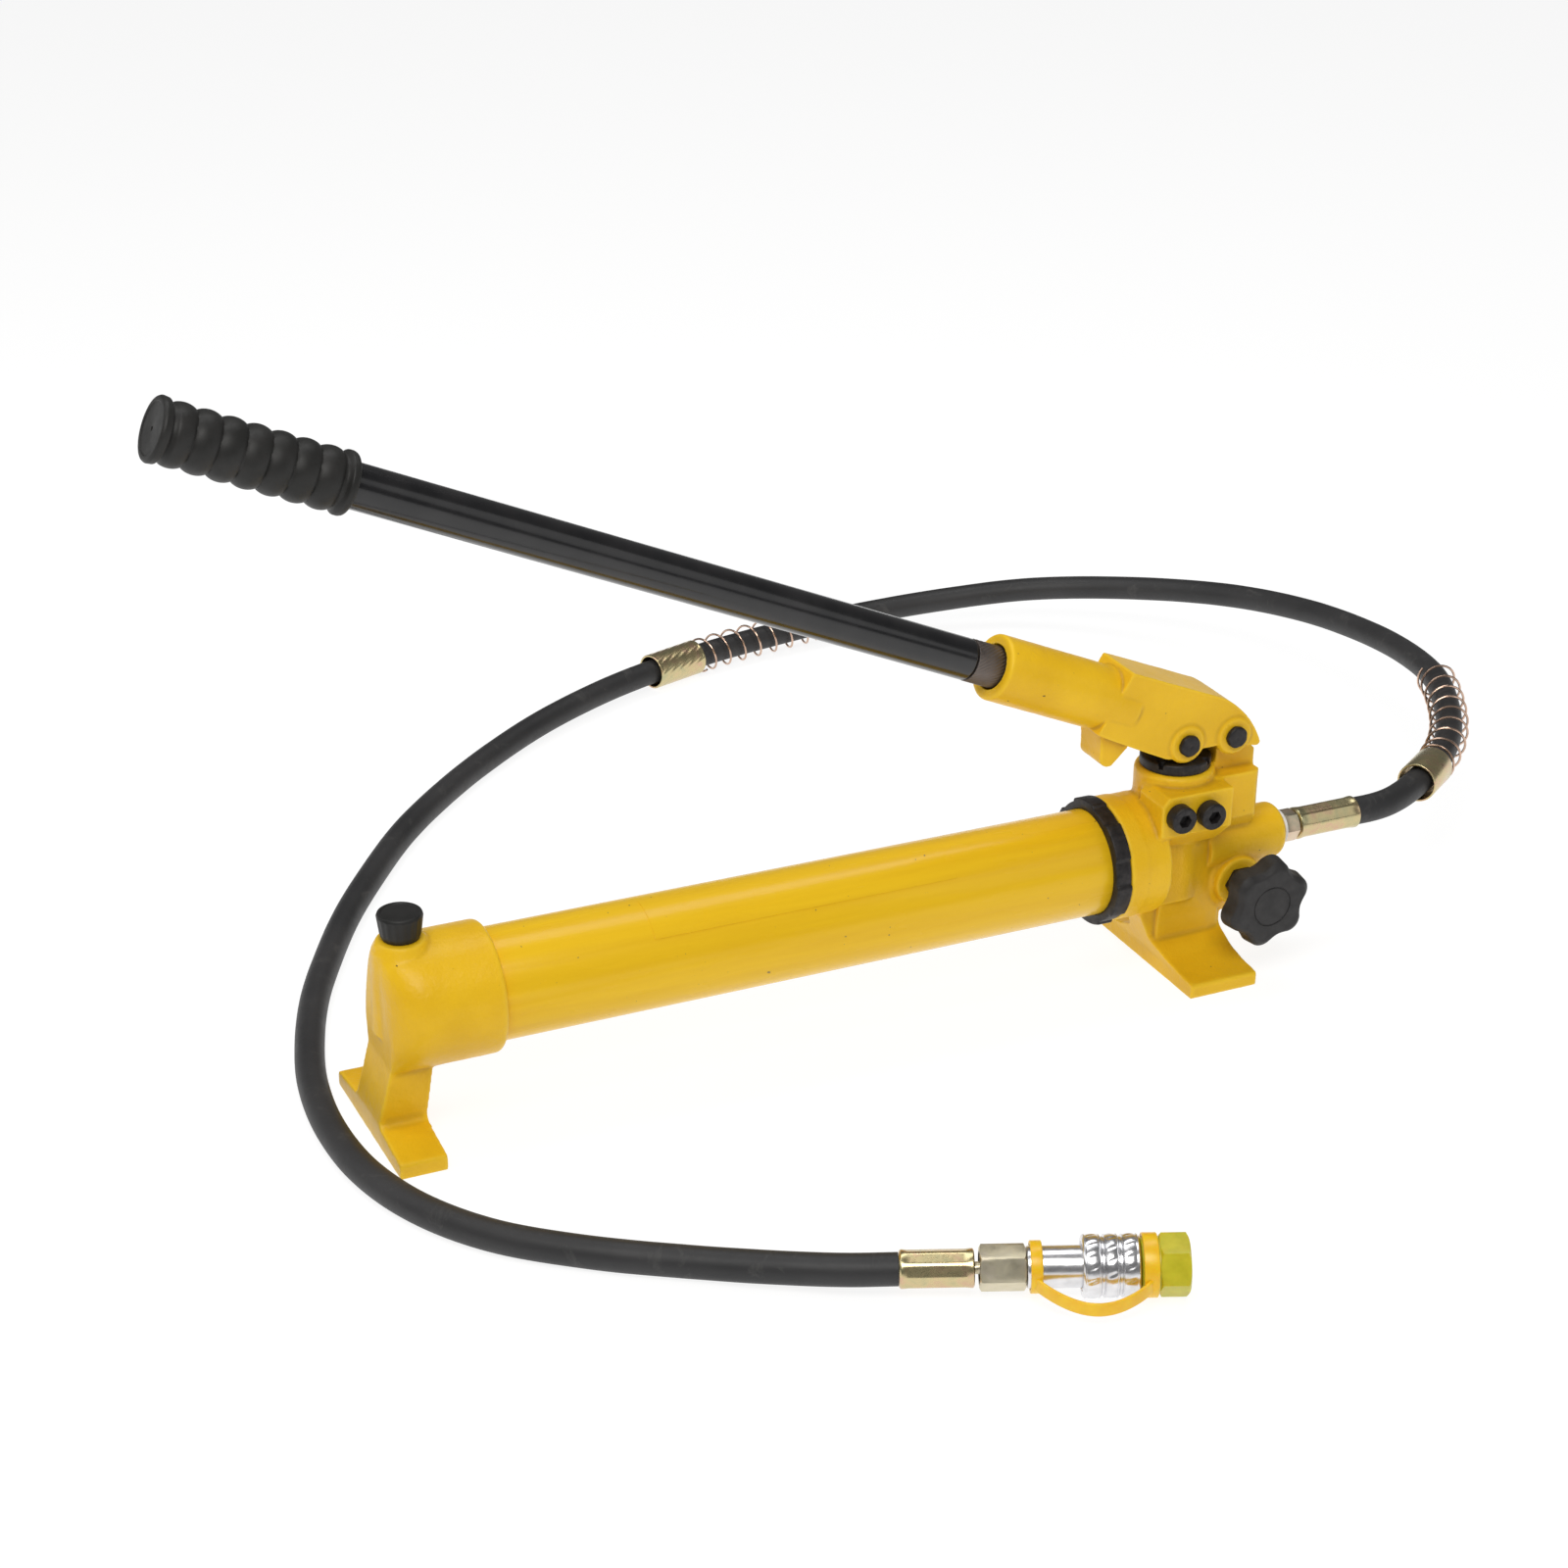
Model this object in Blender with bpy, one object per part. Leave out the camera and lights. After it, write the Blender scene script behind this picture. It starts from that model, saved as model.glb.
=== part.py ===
"""Two-foot hydraulic hand pump with its hose and quick coupler.

The frame stands on z = 0 with the plunger's axis on the z axis. +X points from
the reservoir towards the outlet port, and the release valve faces -Y.
All dimensions below are millimetres; MM turns them into metres.
"""
import math

import bmesh
import bpy
import numpy as np
from mathutils import Matrix, Vector

MM = 0.001
GAP = 0.3                      # clearance between pieces that touch
MERGE = 0.002                  # points closer than this are one point

# reservoir
TANK_Z = 76.0
TUBE_R = 32.0
TUBE_BORE_R = 28.5
TUBE_FRONT = -29.3
TUBE_REAR = -471.7
SOCKET_R = TUBE_R + GAP
BARREL_R = 37.5
CAP_FRONT = -436.1
CAP_REAR = -499.3
CAP_CREASE = -479.0             # where the cap's round barrel ends
LOFT_R = 37.2
LOFT_LEVELS = 13
SLAB_HALF = 20.3                # half width of the cap's rear face, below SLAB_BEND_Z
SLAB_BEND_Z = 62.0
SLAB_LEAN = 0.357               # how fast the rear face narrows above it
FILLER_X = -484.1
FILLER_PAD_TOP = 115.5

# feet
FOOT_HALF = 55.4
FOOT_EDGE = 9.0                # plate thickness at its end
FRONT_FOOT = (-13.0, 33.0)
REAR_FOOT = (-507.6, -480.3)

# head
BOSS_R = 24.2
CORE_R = 18.5                  # metal round the lower part of the plunger bore
BOSS_TOP = 130.6
HEAD_FRONT = -47.7             # rear end of the head's barrel
BORE_R = 11.0
PLUNGER_R = 10.7
BORE_BOTTOM = 62.0
PLUNGER_BOTTOM = 76.0
GLAND_FLANGE_R = 21.3
GLAND_TOP = 137.5
PORT_Z = 72.8
PORT_R = 17.0
PORT_END = 75.2
VALVE_X = 39.4
VALVE_Z = 52.0
KNOB_TURN = math.radians(12)
PAD_Y = -32.0
PLUGS = {"high": (-15.9, 111.9), "low": (4.5, 110.6)}

# lever
PIVOT = (28.4, 0.0, 150.5)
PIN_SPACING = 32.5
PIN_X = PIVOT[0] - PIN_SPACING
PIN_R = 5.0
CHEEK_Y = 18.0
CHEEK_BOSS_Y = 19.5
CHEEK_SLOT_Y = 10.3
LUG_Y = 9.8
LUG_X = GLAND_FLANGE_R + 1.0
HANDLE_ANGLE = math.radians(23.42)
MOUTH = (-127.6, 0.0, 213.9)
HANDLE_SOCKET_R = 19.5
HANDLE_TUBE_R = 12.2
GRIP_START = 406.0
GRIP_END = 511.0
GRIP_LOBES = 7

# hose
HOSE_R = 8.65
FERRULE_R = 10.0
HOSE_START = (133.0, 0.0, 72.8)
HOSE_ROUTE = [
    HOSE_START, (147, 0, 72.8), (162, 3, 72.7), (185, 14, 72.4), (232, 47, 72), (262, 78, 72), (292, 123, 71),
    (312, 164, 70), (322, 210, 68), (326, 266, 63), (318, 330, 57), (295, 398, 48), (248, 462, 38),
    (188, 508, 30), (124, 531, 23), (50, 540, 18), (-16, 536, 15), (-78, 525, 13.6),
    (-146, 502, 13.4), (-189, 482, 13.2), (-237, 456, 11.5), (-288, 420, 9.5), (-332, 381, 8.9),
    (-376, 334, 8.9), (-416, 280, 8.9), (-447, 233, 8.9), (-473, 186, 8.9), (-495, 141, 8.9),
    (-513, 92, 8.9), (-525, 46, 8.9), (-530, -4, 8.9), (-526, -54, 8.9), (-511, -99, 8.9),
    (-485, -138, 8.9), (-446, -172, 8.9), (-403, -201, 9.1), (-362, -229, 11.3),
]
HOSE_STEP = 29.0
HOSE_LEAD = 12.0               # straight stretch at each fitting

# coupler, along a line from the hose's crimped ferrule to the dust cap's end
COUPLER_START = Vector((-311.1, -257.7, 14.3))
COUPLER_END = Vector((-178.1, -318.6, 18.3))
COLLAR_R = 16.2


# ---------------------------------------------------------------- mesh helpers

AXES = {
    "z": Matrix.Identity(3),
    "x": Matrix(((0, 0, 1), (1, 0, 0), (0, 1, 0))),
    "-y": Matrix(((1, 0, 0), (0, 0, -1), (0, 1, 0))),
}


def clear_scene():
    for obj in list(bpy.data.objects):
        bpy.data.objects.remove(obj, do_unlink=True)


def new_object(name, bm):
    """Turn a closed bmesh in millimetres into an object in metres."""
    bmesh.ops.recalc_face_normals(bm, faces=bm.faces)
    bmesh.ops.scale(bm, vec=(MM, MM, MM), verts=bm.verts)
    mesh = bpy.data.meshes.new(name)
    bm.to_mesh(mesh)
    bm.free()
    obj = bpy.data.objects.new(name, mesh)
    bpy.context.scene.collection.objects.link(obj)
    return obj


def placed(bm, axis, origin):
    """Turn local +Z to the named or given axis, then move to the origin."""
    if isinstance(axis, str):
        turn = AXES[axis].to_4x4()
    else:
        turn = Vector(axis).to_track_quat("Z", "Y").to_matrix().to_4x4()
    bmesh.ops.transform(bm, matrix=Matrix.Translation(origin) @ turn, verts=bm.verts)
    return bm


def turned(name, profile, axis="z", origin=(0, 0, 0), sides=32):
    """Turn a closed outline of (radius, height) points about the axis."""
    bm = bmesh.new()
    rings = []
    for radius, height in profile:
        if radius == 0:
            rings.append([bm.verts.new((0, 0, height))])
            continue
        angles = [2 * math.pi * (i + 0.5) / sides for i in range(sides)]
        rings.append([bm.verts.new((radius * math.cos(a), radius * math.sin(a), height)) for a in angles])
    pairs = list(zip(rings, rings[1:]))
    if len(rings[0]) > 1 and len(rings[-1]) > 1:
        pairs.append((rings[-1], rings[0]))
    for low, high in pairs:
        for i in range(sides):
            j = (i + 1) % sides
            corners = [low[i % len(low)], low[j % len(low)], high[j % len(high)], high[i % len(high)]]
            unique = list(dict.fromkeys(corners))
            if len(unique) > 2:
                bm.faces.new(unique)
    return new_object(name, placed(bm, axis, origin))


def rod(name, radius, low, high, axis="z", origin=(0, 0, 0), sides=32, chamfer=0.0):
    if chamfer:
        profile = [(0, low), (radius - chamfer, low), (radius, low + chamfer),
                   (radius, high - chamfer), (radius - chamfer, high), (0, high)]
    else:
        profile = [(0, low), (radius, low), (radius, high), (0, high)]
    return turned(name, profile, axis, origin, sides)


def ring(name, inner, outer, low, high, axis="z", origin=(0, 0, 0), sides=32):
    profile = [(inner, low), (outer, low), (outer, high), (inner, high)]
    return turned(name, profile, axis, origin, sides)


def prism(name, outline, low, high, axis="z", origin=(0, 0, 0)):
    """Extrude a closed outline of (x, y) points from low to high along the axis."""
    bm = bmesh.new()
    bottom = [bm.verts.new((x, y, low)) for x, y in outline]
    face = bm.faces.new(bottom)
    top = bmesh.ops.extrude_face_region(bm, geom=[face])
    moved = [v for v in top["geom"] if isinstance(v, bmesh.types.BMVert)]
    bmesh.ops.translate(bm, vec=(0, 0, high - low), verts=moved)
    return new_object(name, placed(bm, axis, origin))


def block(name, low, high, bevel=0.0, edges="z"):
    """Box between two corners, with the edges along one axis or all rounded."""
    bm = bmesh.new()
    bmesh.ops.create_cube(bm, size=1.0)
    size = [b - a for a, b in zip(low, high)]
    middle = [(a + b) / 2 for a, b in zip(low, high)]
    bmesh.ops.scale(bm, vec=size, verts=bm.verts)
    bmesh.ops.translate(bm, vec=middle, verts=bm.verts)
    if bevel:
        axis = "xyz".find(edges)
        chosen = []
        for edge in bm.edges:
            run = edge.verts[1].co - edge.verts[0].co
            if axis < 0 or abs(run[axis]) > 1e-6:
                chosen.append(edge)
        bmesh.ops.bevel(bm, geom=chosen, offset=bevel, segments=3, profile=0.5, affect="EDGES")
    return new_object(name, bm)


def combine(target, tool, operation):
    """Boolean the tool into the target for good and remove the tool."""
    modifier = target.modifiers.new("shape", "BOOLEAN")
    modifier.operation = operation
    modifier.solver = "EXACT"
    modifier.object = tool
    graph = bpy.context.evaluated_depsgraph_get()
    mesh = bpy.data.meshes.new_from_object(target.evaluated_get(graph))
    target.modifiers.clear()
    bm = bmesh.new()
    bm.from_mesh(mesh)
    bmesh.ops.remove_doubles(bm, verts=bm.verts, dist=MERGE * MM)
    bmesh.ops.dissolve_degenerate(bm, edges=bm.edges, dist=MERGE * MM)
    bm.to_mesh(mesh)
    bm.free()
    target.data = mesh
    bpy.data.objects.remove(tool, do_unlink=True)


def union(target, *tools):
    for tool in tools:
        combine(target, tool, "UNION")
    return target


def subtract(target, *tools):
    for tool in tools:
        combine(target, tool, "DIFFERENCE")
    return target


def arc(start, end, bulge, steps):
    """Points from start to end on an arc that bulges to the left of the chord."""
    p = Vector(start)
    q = Vector(end)
    chord = q - p
    normal = Vector((-chord.y, chord.x)).normalized()
    half = chord.length / 2
    radius = (half * half + bulge * bulge) / (2 * bulge)
    centre = (p + q) / 2 + normal * (bulge - radius)
    first = math.atan2(p.y - centre.y, p.x - centre.x)
    sweep = 2 * math.asin(half / abs(radius))
    if abs(bulge) > half:
        sweep = 2 * math.pi - sweep
    points = []
    for i in range(steps + 1):
        angle = first - math.copysign(sweep, bulge) * i / steps
        points.append((centre.x + abs(radius) * math.cos(angle), centre.y + abs(radius) * math.sin(angle)))
    return points


def circle(radius, sides, centre=(0, 0), turn=0.0):
    angles = [2 * math.pi * i / sides + turn for i in range(sides)]
    return [(centre[0] + radius * math.cos(a), centre[1] + radius * math.sin(a)) for a in angles]


def hexagon(across_flats, centre=(0, 0)):
    return circle(across_flats / math.sqrt(3), 6, centre)


def frames_along(points):
    """Parallel-transported side vectors for a line of points."""
    points = [Vector(p) for p in points]
    tangents = []
    for i in range(len(points)):
        tangents.append((points[min(i + 1, len(points) - 1)] - points[max(i - 1, 0)]).normalized())
    side = tangents[0].orthogonal().normalized()
    frames = []
    for tangent in tangents:
        side = (side - tangent * side.dot(tangent)).normalized()
        frames.append((side, tangent.cross(side)))
    return points, frames


def swept(name, points, section):
    """Sweep a closed flat section of (side, up) points along a line of points."""
    points, frames = frames_along(points)
    bm = bmesh.new()
    rings = []
    for point, (side, up) in zip(points, frames):
        rings.append([bm.verts.new(point + side * a + up * b) for a, b in section])
    count = len(section)
    for low, high in zip(rings, rings[1:]):
        for i in range(count):
            j = (i + 1) % count
            bm.faces.new((low[i], low[j], high[j], high[i]))
    bm.faces.new(rings[0])
    bm.faces.new(rings[-1])
    return new_object(name, bm)


def coil_points(radius, pitch, turns, per_turn=8):
    points = []
    for i in range(int(turns * per_turn) + 1):
        angle = 2 * math.pi * i / per_turn
        points.append((radius * math.cos(angle), radius * math.sin(angle), pitch * i / per_turn))
    return points


def coil_spring(name, radius, wire, length, turns, axis, origin, sides=4, per_turn=8):
    """Straight compression spring that starts at the origin."""
    pitch = (length - wire) / turns
    spring = swept(name, coil_points(radius, pitch, turns, per_turn), circle(wire / 2, sides))
    turn = AXES[axis] if isinstance(axis, str) else Vector(axis).to_track_quat("Z", "Y").to_matrix()
    shift = Matrix.Translation(Vector(origin) * MM) @ turn.to_4x4()
    spring.data.transform(shift @ Matrix.Translation((0, 0, wire / 2 * MM)))
    return spring


# ---------------------------------------------------------------- materials

def material(name, colour, roughness, metallic=0.0):
    mat = bpy.data.materials.new(name)
    mat.use_nodes = True
    shader = mat.node_tree.nodes["Principled BSDF"]
    shader.inputs["Base Color"].default_value = (*colour, 1.0)
    shader.inputs["Roughness"].default_value = roughness
    shader.inputs["Metallic"].default_value = metallic
    mat.diffuse_color = (*colour, 1.0)
    return mat


LOOKS = {
    "cast_paint": ((0.83, 0.52, 0.02), 0.38, 0.0),
    "tube_paint": ((0.86, 0.56, 0.02), 0.28, 0.0),
    "black_oxide": ((0.03, 0.03, 0.03), 0.45, 0.4),
    "black_plastic": ((0.02, 0.02, 0.02), 0.5, 0.0),
    "gloss_black": ((0.01, 0.01, 0.01), 0.2, 0.0),
    "rubber": ((0.03, 0.03, 0.03), 0.6, 0.0),
    "steel": ((0.55, 0.54, 0.52), 0.35, 1.0),
    "zinc": ((0.62, 0.56, 0.42), 0.35, 1.0),
    "yellow_zinc": ((0.68, 0.52, 0.25), 0.3, 1.0),
    "copper_wire": ((0.62, 0.42, 0.25), 0.35, 1.0),
    "chrome": ((0.8, 0.8, 0.8), 0.12, 1.0),
    "ptfe": ((0.85, 0.85, 0.83), 0.5, 0.0),
    "seal": ((0.05, 0.05, 0.05), 0.7, 0.0),
    "cap_plastic": ((0.75, 0.72, 0.05), 0.35, 0.0),
    "strap_plastic": ((0.9, 0.62, 0.02), 0.4, 0.0),
}


def finish(obj, look, sharp=35):
    colour, roughness, metallic = LOOKS[look]
    obj.data.materials.clear()
    obj.data.materials.append(material(obj.name, colour, roughness, metallic))
    if obj.type == "MESH":
        obj.data.shade_smooth()
        obj.data.set_sharp_from_angle(angle=math.radians(sharp))
    return obj


def hang(empty_name, origin, pieces, axis=None):
    """Parent the pieces to an empty on their joint's axis, keeping their places."""
    pivot = bpy.data.objects.new(empty_name, None)
    pivot.empty_display_size = 0.02
    pivot.location = Vector(origin) * MM
    if axis is not None:
        pivot.rotation_mode = "QUATERNION"
        pivot.rotation_quaternion = Vector(axis).to_track_quat("Z", "Y")
    bpy.context.scene.collection.objects.link(pivot)
    bpy.context.view_layer.update()
    for piece in pieces:
        piece.parent = pivot
        piece.matrix_parent_inverse = pivot.matrix_world.inverted()
    return pivot


# ---------------------------------------------------------------- castings

def foot_outline(flare, web_top):
    """Foot and web seen along X: plate ends, sloping top, the flare's points and the web."""
    right = [(FOOT_HALF, 0), (FOOT_HALF, FOOT_EDGE - 1.5), (FOOT_HALF - 1.5, FOOT_EDGE)]
    right += flare + [(flare[-1][0], web_top)]
    return right + [(-y, z) for y, z in reversed(right)]


def cap_loft(name):
    """Rear of the cap: the round section narrows to a slab that leans in towards the top."""
    bm = bmesh.new()
    levels = [TANK_Z - LOFT_R * math.cos(math.pi * (i + 0.5) / LOFT_LEVELS) for i in range(LOFT_LEVELS)]
    depth = CAP_CREASE - CAP_REAR
    rings = []
    for along in (-0.1, 0.0, 0.3, 0.55, 0.75, 0.88, 0.96, 1.0):
        keep = math.sqrt(1 - max(along, 0.0) ** 2)
        right = []
        for z in levels:
            wide = math.sqrt(LOFT_R ** 2 - (z - TANK_Z) ** 2)
            slab = SLAB_HALF - SLAB_LEAN * max(z - SLAB_BEND_Z, 0.0)
            right.append((slab + (wide - slab) * keep, z))
        loop = right + [(-y, z) for y, z in reversed(right)]
        rings.append([bm.verts.new((CAP_CREASE - depth * along, y, z)) for y, z in loop])
    count = len(rings[0])
    for low, high in zip(rings, rings[1:]):
        for i in range(count):
            j = (i + 1) % count
            bm.faces.new((low[i], low[j], high[j], high[i]))
    bm.faces.new(rings[0])
    bm.faces.new(rings[-1])
    return new_object(name, bm)


def make_rear_cap():
    front = CAP_FRONT
    profile = [(0, CAP_CREASE), (BARREL_R, CAP_CREASE), (BARREL_R, front - 3), (BARREL_R - 1, front - 1),
               (BARREL_R - 3, front), (0, front)]
    cap = turned("rear_cap", profile, "x", (0, 0, TANK_Z), 32)
    union(cap, cap_loft("loft"))
    pad = [(0, 60), (18, 60), (16.5, FILLER_PAD_TOP - 6), (13.2, FILLER_PAD_TOP), (0, FILLER_PAD_TOP)]
    union(cap, turned("pad", pad, "z", (FILLER_X, 0, 0), 28))
    x0, x1 = REAR_FOOT
    foot = prism("foot", foot_outline([(23, 12.6), (20, 15.5)], 60), x0, x1 + 4.5, "x")
    waist = [(x0 - 1, -1), (x0 - 1, 10), (CAP_REAR, 46), (CAP_REAR, 70), (x1 + 5.2, 70), (x1 + 4.5, 40),
             (x1 + 1, 18), (x1, 9), (x1, -1)]
    combine(foot, prism("waist", waist, -80, 80, "-y"), "INTERSECT")
    union(cap, foot)
    subtract(
        cap,
        rod("bore", SOCKET_R, -474, front + 2, "x", (0, 0, TANK_Z), 32),
        rod("pocket", 22, -493, -473, "x", (0, 0, TANK_Z), 24),
        rod("filler_bore", 7.4, 90, 120, "z", (FILLER_X, 0, 0), 20),
    )
    return finish(cap, "cast_paint")


def make_head():
    front = -19.0
    profile = [(0, HEAD_FRONT), (BARREL_R - 1.5, HEAD_FRONT), (BARREL_R, HEAD_FRONT + 1.5),
               (BARREL_R, front - 3), (BARREL_R - 3, front), (0, front)]
    head = turned("pump_head", profile, "x", (0, 0, TANK_Z), 32)
    boss = [(0, 42), (CORE_R, 46), (CORE_R, 84), (BOSS_R, 92), (BOSS_R, BOSS_TOP - 5),
            (BOSS_R - 1.0, BOSS_TOP - 1.5), (BOSS_R - 2.5, BOSS_TOP), (0, BOSS_TOP)]
    union(head, turned("boss", boss, "z", (0, 0, 0), 32))
    # flat pad that carries the two relief plugs
    pad = [(-26.5, 84), (22, 84), (22, 124), (-22, 124), (-26.5, 119)]
    pad_block = prism("pad", pad, 5, -PAD_Y, "-y")
    slope = [(PAD_Y - 2, 101), (PAD_Y - 2, 70), (-14, 70), (-14, 81)]
    subtract(pad_block, prism("slope", slope, -40, 40, "x"))
    union(head, pad_block)
    # wall between the barrel and the plunger bore, then the body under the pivot lug and its web
    union(head, block("wall", (-25, -CORE_R + 0.4, 46), (0, CORE_R - 0.4, 95)))
    body = prism("body", [(-20, 125.4), (-20, 97), (-12, 87), (12, 87), (20, 97), (20, 125.4)], 6, 48.5, "x")
    plan = [(4, -22), (43.5, -22), (50, -15.5), (50, 15.5), (43.5, 22), (4, 22)]
    combine(body, prism("plan", plan, 80, 130), "INTERSECT")
    union(head, body, block("web", (4, -11.6, 38), (48.1, 11.6, 96)))
    lug = [(LUG_X, 100), (LUG_X, PIVOT[2] - 9)]
    lug += arc((PIVOT[0] - 10.8, PIVOT[2] - 4.5), (PIVOT[0] + 10.8, PIVOT[2] - 4.5), 16.2, 11)
    lug += [(PIVOT[0] + 17, 139), (49.6, 135), (49.6, 118), (46.5, 110), (46.5, 100)]
    union(head, prism("lug", lug, -LUG_Y, LUG_Y, "-y"))
    x0, x1 = FRONT_FOOT
    flare = [(40, 10.3), (26, 13.6), (12.5, 20), (10.5, 23)]
    foot = prism("foot", foot_outline(flare, 60), x0 - 12, x1, "x")
    waist = [(x0, -1), (x0, 10), (x0 - 10.5, 36), (x0 - 10.5, 70), (x1 + 1, 70), (x1 + 1, -1)]
    combine(foot, prism("waist", waist, -80, 80, "-y"), "INTERSECT")
    union(head, foot)
    # outlet port and release valve bosses
    port = [(0, 20), (PORT_R, 20), (PORT_R, PORT_END - 7)]
    port += [(PORT_R - 2, PORT_END - 2.5), (PORT_R - 6, PORT_END), (0, PORT_END)]
    union(head, turned("port", port, "x", (0, 0, PORT_Z), 32))
    valve = [(0, -17), (19.5, -17), (19.5, 13), (18.1, 14.4), (15.6, 14.4), (15.6, 19), (14.6, 20), (0, 20)]
    union(head, turned("valve", valve, "-y", (VALVE_X, 0, VALVE_Z), 32))
    # bores
    cuts = [
        rod("socket", SOCKET_R, HEAD_FRONT - 5, -27, "x", (0, 0, TANK_Z), 32),
        rod("plunger_bore", BORE_R, BORE_BOTTOM, BOSS_TOP + 5, "z", (0, 0, 0), 20),
        rod("seal_bore", 14.5, 112, BOSS_TOP + 5, "z", (0, 0, 0), 20),
        rod("gland_bore", 17.6, 120, BOSS_TOP + 5, "z", (0, 0, 0), 20),
        rod("port_bore", 8.0, 57, PORT_END + 5, "x", (0, 0, PORT_Z), 20),
        rod("check_bore", 4.2, 34, 60, "x", (0, 0, PORT_Z), 12),
        rod("outlet_way", 2.5, 5, 38, "x", (0, 0, PORT_Z), 8),
        rod("valve_bore", 7.0, 6, 26, "-y", (VALVE_X, 0, VALVE_Z), 20),
        rod("valve_seat", 4.4, -12, 8, "-y", (VALVE_X, 0, VALVE_Z), 12),
        rod("inlet_counterbore", 4.4, -30, -20.5, "x", (0, 0, 66), 12),
        rod("inlet_way", 3.0, -22, -5, "x", (0, 0, 66), 12),
        rod("pivot_bore", PIN_R + GAP, -20, 20, "-y", (PIVOT[0], 0, PIVOT[2]), 14),
    ]
    for x, z in PLUGS.values():
        cuts.append(rod("plug_bore", 5.0, 24, 40, "-y", (x, 0, z), 16))
        cuts.append(rod("relief_bore", 3.0, 17, 26, "-y", (x, 0, z), 10))
    subtract(head, *cuts)
    return finish(head, "cast_paint")


def to_lever(u, v):
    """Point in X and Z, from a distance along the handle and one square to it."""
    cos, sin = math.cos(HANDLE_ANGLE), math.sin(HANDLE_ANGLE)
    return (MOUTH[0] - u * cos + v * sin, MOUTH[2] + u * sin + v * cos)


HANDLE_AXIS = (-math.cos(HANDLE_ANGLE), 0.0, math.sin(HANDLE_ANGLE))


def make_lever():
    tip = (47.6, 143.0)
    outline = [to_lever(-76, -18.6), to_lever(-82, 22.6), (19.5, 175.8)]
    outline += arc((19.5, 175.8), tip, 3.9, 7)[1:]
    outline += [(45.6, 140.8), (18, 145.5), (3, 145.5), (-9, 141), (-18, 143), (-46, 156.8)]
    lever = prism("lever_casting", outline, -CHEEK_Y, CHEEK_Y, "-y")
    r = HANDLE_SOCKET_R
    socket = [(0, -100), (r, -96), (r, -4), (r - 1.2, -1.2), (r - 4, 0), (0, 0)]
    union(lever, turned("socket", socket, HANDLE_AXIS, MOUTH, 28))
    hook = [(-60.2, 175), (-59.2, 150)]
    hook += arc((-59.2, 150), (-51.6, 142.4), -3.2, 7)[1:]
    hook += [(-41, 152.4), (-41, 175)]
    union(lever, prism("hook", hook, -12, 12, "-y"))
    for x in (PIN_X, PIVOT[0]):
        boss = [(0, -CHEEK_BOSS_Y), (10.6, -CHEEK_BOSS_Y), (12.4, -CHEEK_Y + 0.5),
                (12.4, CHEEK_Y - 0.5), (10.6, CHEEK_BOSS_Y), (0, CHEEK_BOSS_Y)]
        union(lever, turned("ring", boss, "-y", (x, 0, PIVOT[2]), 24))
    slot = [(-27, 120), (70, 120), (70, 160), (64, 166), (-27, 166)]
    subtract(
        lever,
        rod("handle_bore", 13.4, -62, 5, HANDLE_AXIS, MOUTH, 28),
        prism("slot", slot, -CHEEK_SLOT_Y, CHEEK_SLOT_Y, "-y"),
        rod("pin_hole", PIN_R + GAP, -25, 25, "-y", (PIN_X, 0, PIVOT[2]), 14),
        rod("pivot_hole", PIN_R + GAP, -25, 25, "-y", (PIVOT[0], 0, PIVOT[2]), 14),
    )
    return finish(lever, "cast_paint")


# ---------------------------------------------------------------- reservoir

def make_lock_ring():
    outline = []
    for i in range(48):
        angle = 2 * math.pi * i / 48
        radius = 38.6 if i % 8 < 5 else 36.9
        outline.append((radius * math.cos(angle), radius * math.sin(angle)))
    lock = prism("lock_ring", outline, -58, HEAD_FRONT - GAP, "x", (0, 0, TANK_Z))
    subtract(lock, rod("hole", SOCKET_R, -60, -40, "x", (0, 0, TANK_Z), 32))
    return finish(lock, "black_oxide")


def make_reservoir():
    centre = (0, 0, TANK_Z)
    pieces = [finish(ring("reservoir_tube", TUBE_BORE_R, TUBE_R, TUBE_REAR, TUBE_FRONT, "x", centre, 32),
                     "tube_paint")]
    pieces.append(finish(ring("head_seal", 28.8, 31.9, TUBE_FRONT + GAP, -27.3, "x", centre), "seal"))
    pieces.append(finish(ring("cap_seal", 28.8, 31.9, -473.7, TUBE_REAR - GAP, "x", centre), "seal"))
    pieces.append(finish(ring("suction_tube", 2.6, 4.1, -130, -20.9, "x", (0, 0, 66), 12), "steel"))
    cup = [(0, -150), (9, -150), (9, -122), (4.5, -118), (4.5, -119.5), (8.2, -123), (8.2, -149), (0, -149)]
    pieces.append(finish(turned("suction_strainer", cup, "x", (0, 0, 66), 14), "steel"))
    return pieces


def make_filler():
    axis = (FILLER_X, 0, 0)
    base = FILLER_PAD_TOP + GAP
    profile = [(0, 98), (6.2, 98), (7.0, 99), (7.0, base), (10.2, base), (11.2, base + 3), (12.7, 129.5),
               (12.0, 131.2), (0, 131.2)]
    cap = finish(turned("filler_cap", profile, "z", axis, 24), "black_plastic")
    hang("filler_cap_axis", (FILLER_X, 0, base), [cap])


# ---------------------------------------------------------------- head fittings

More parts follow.
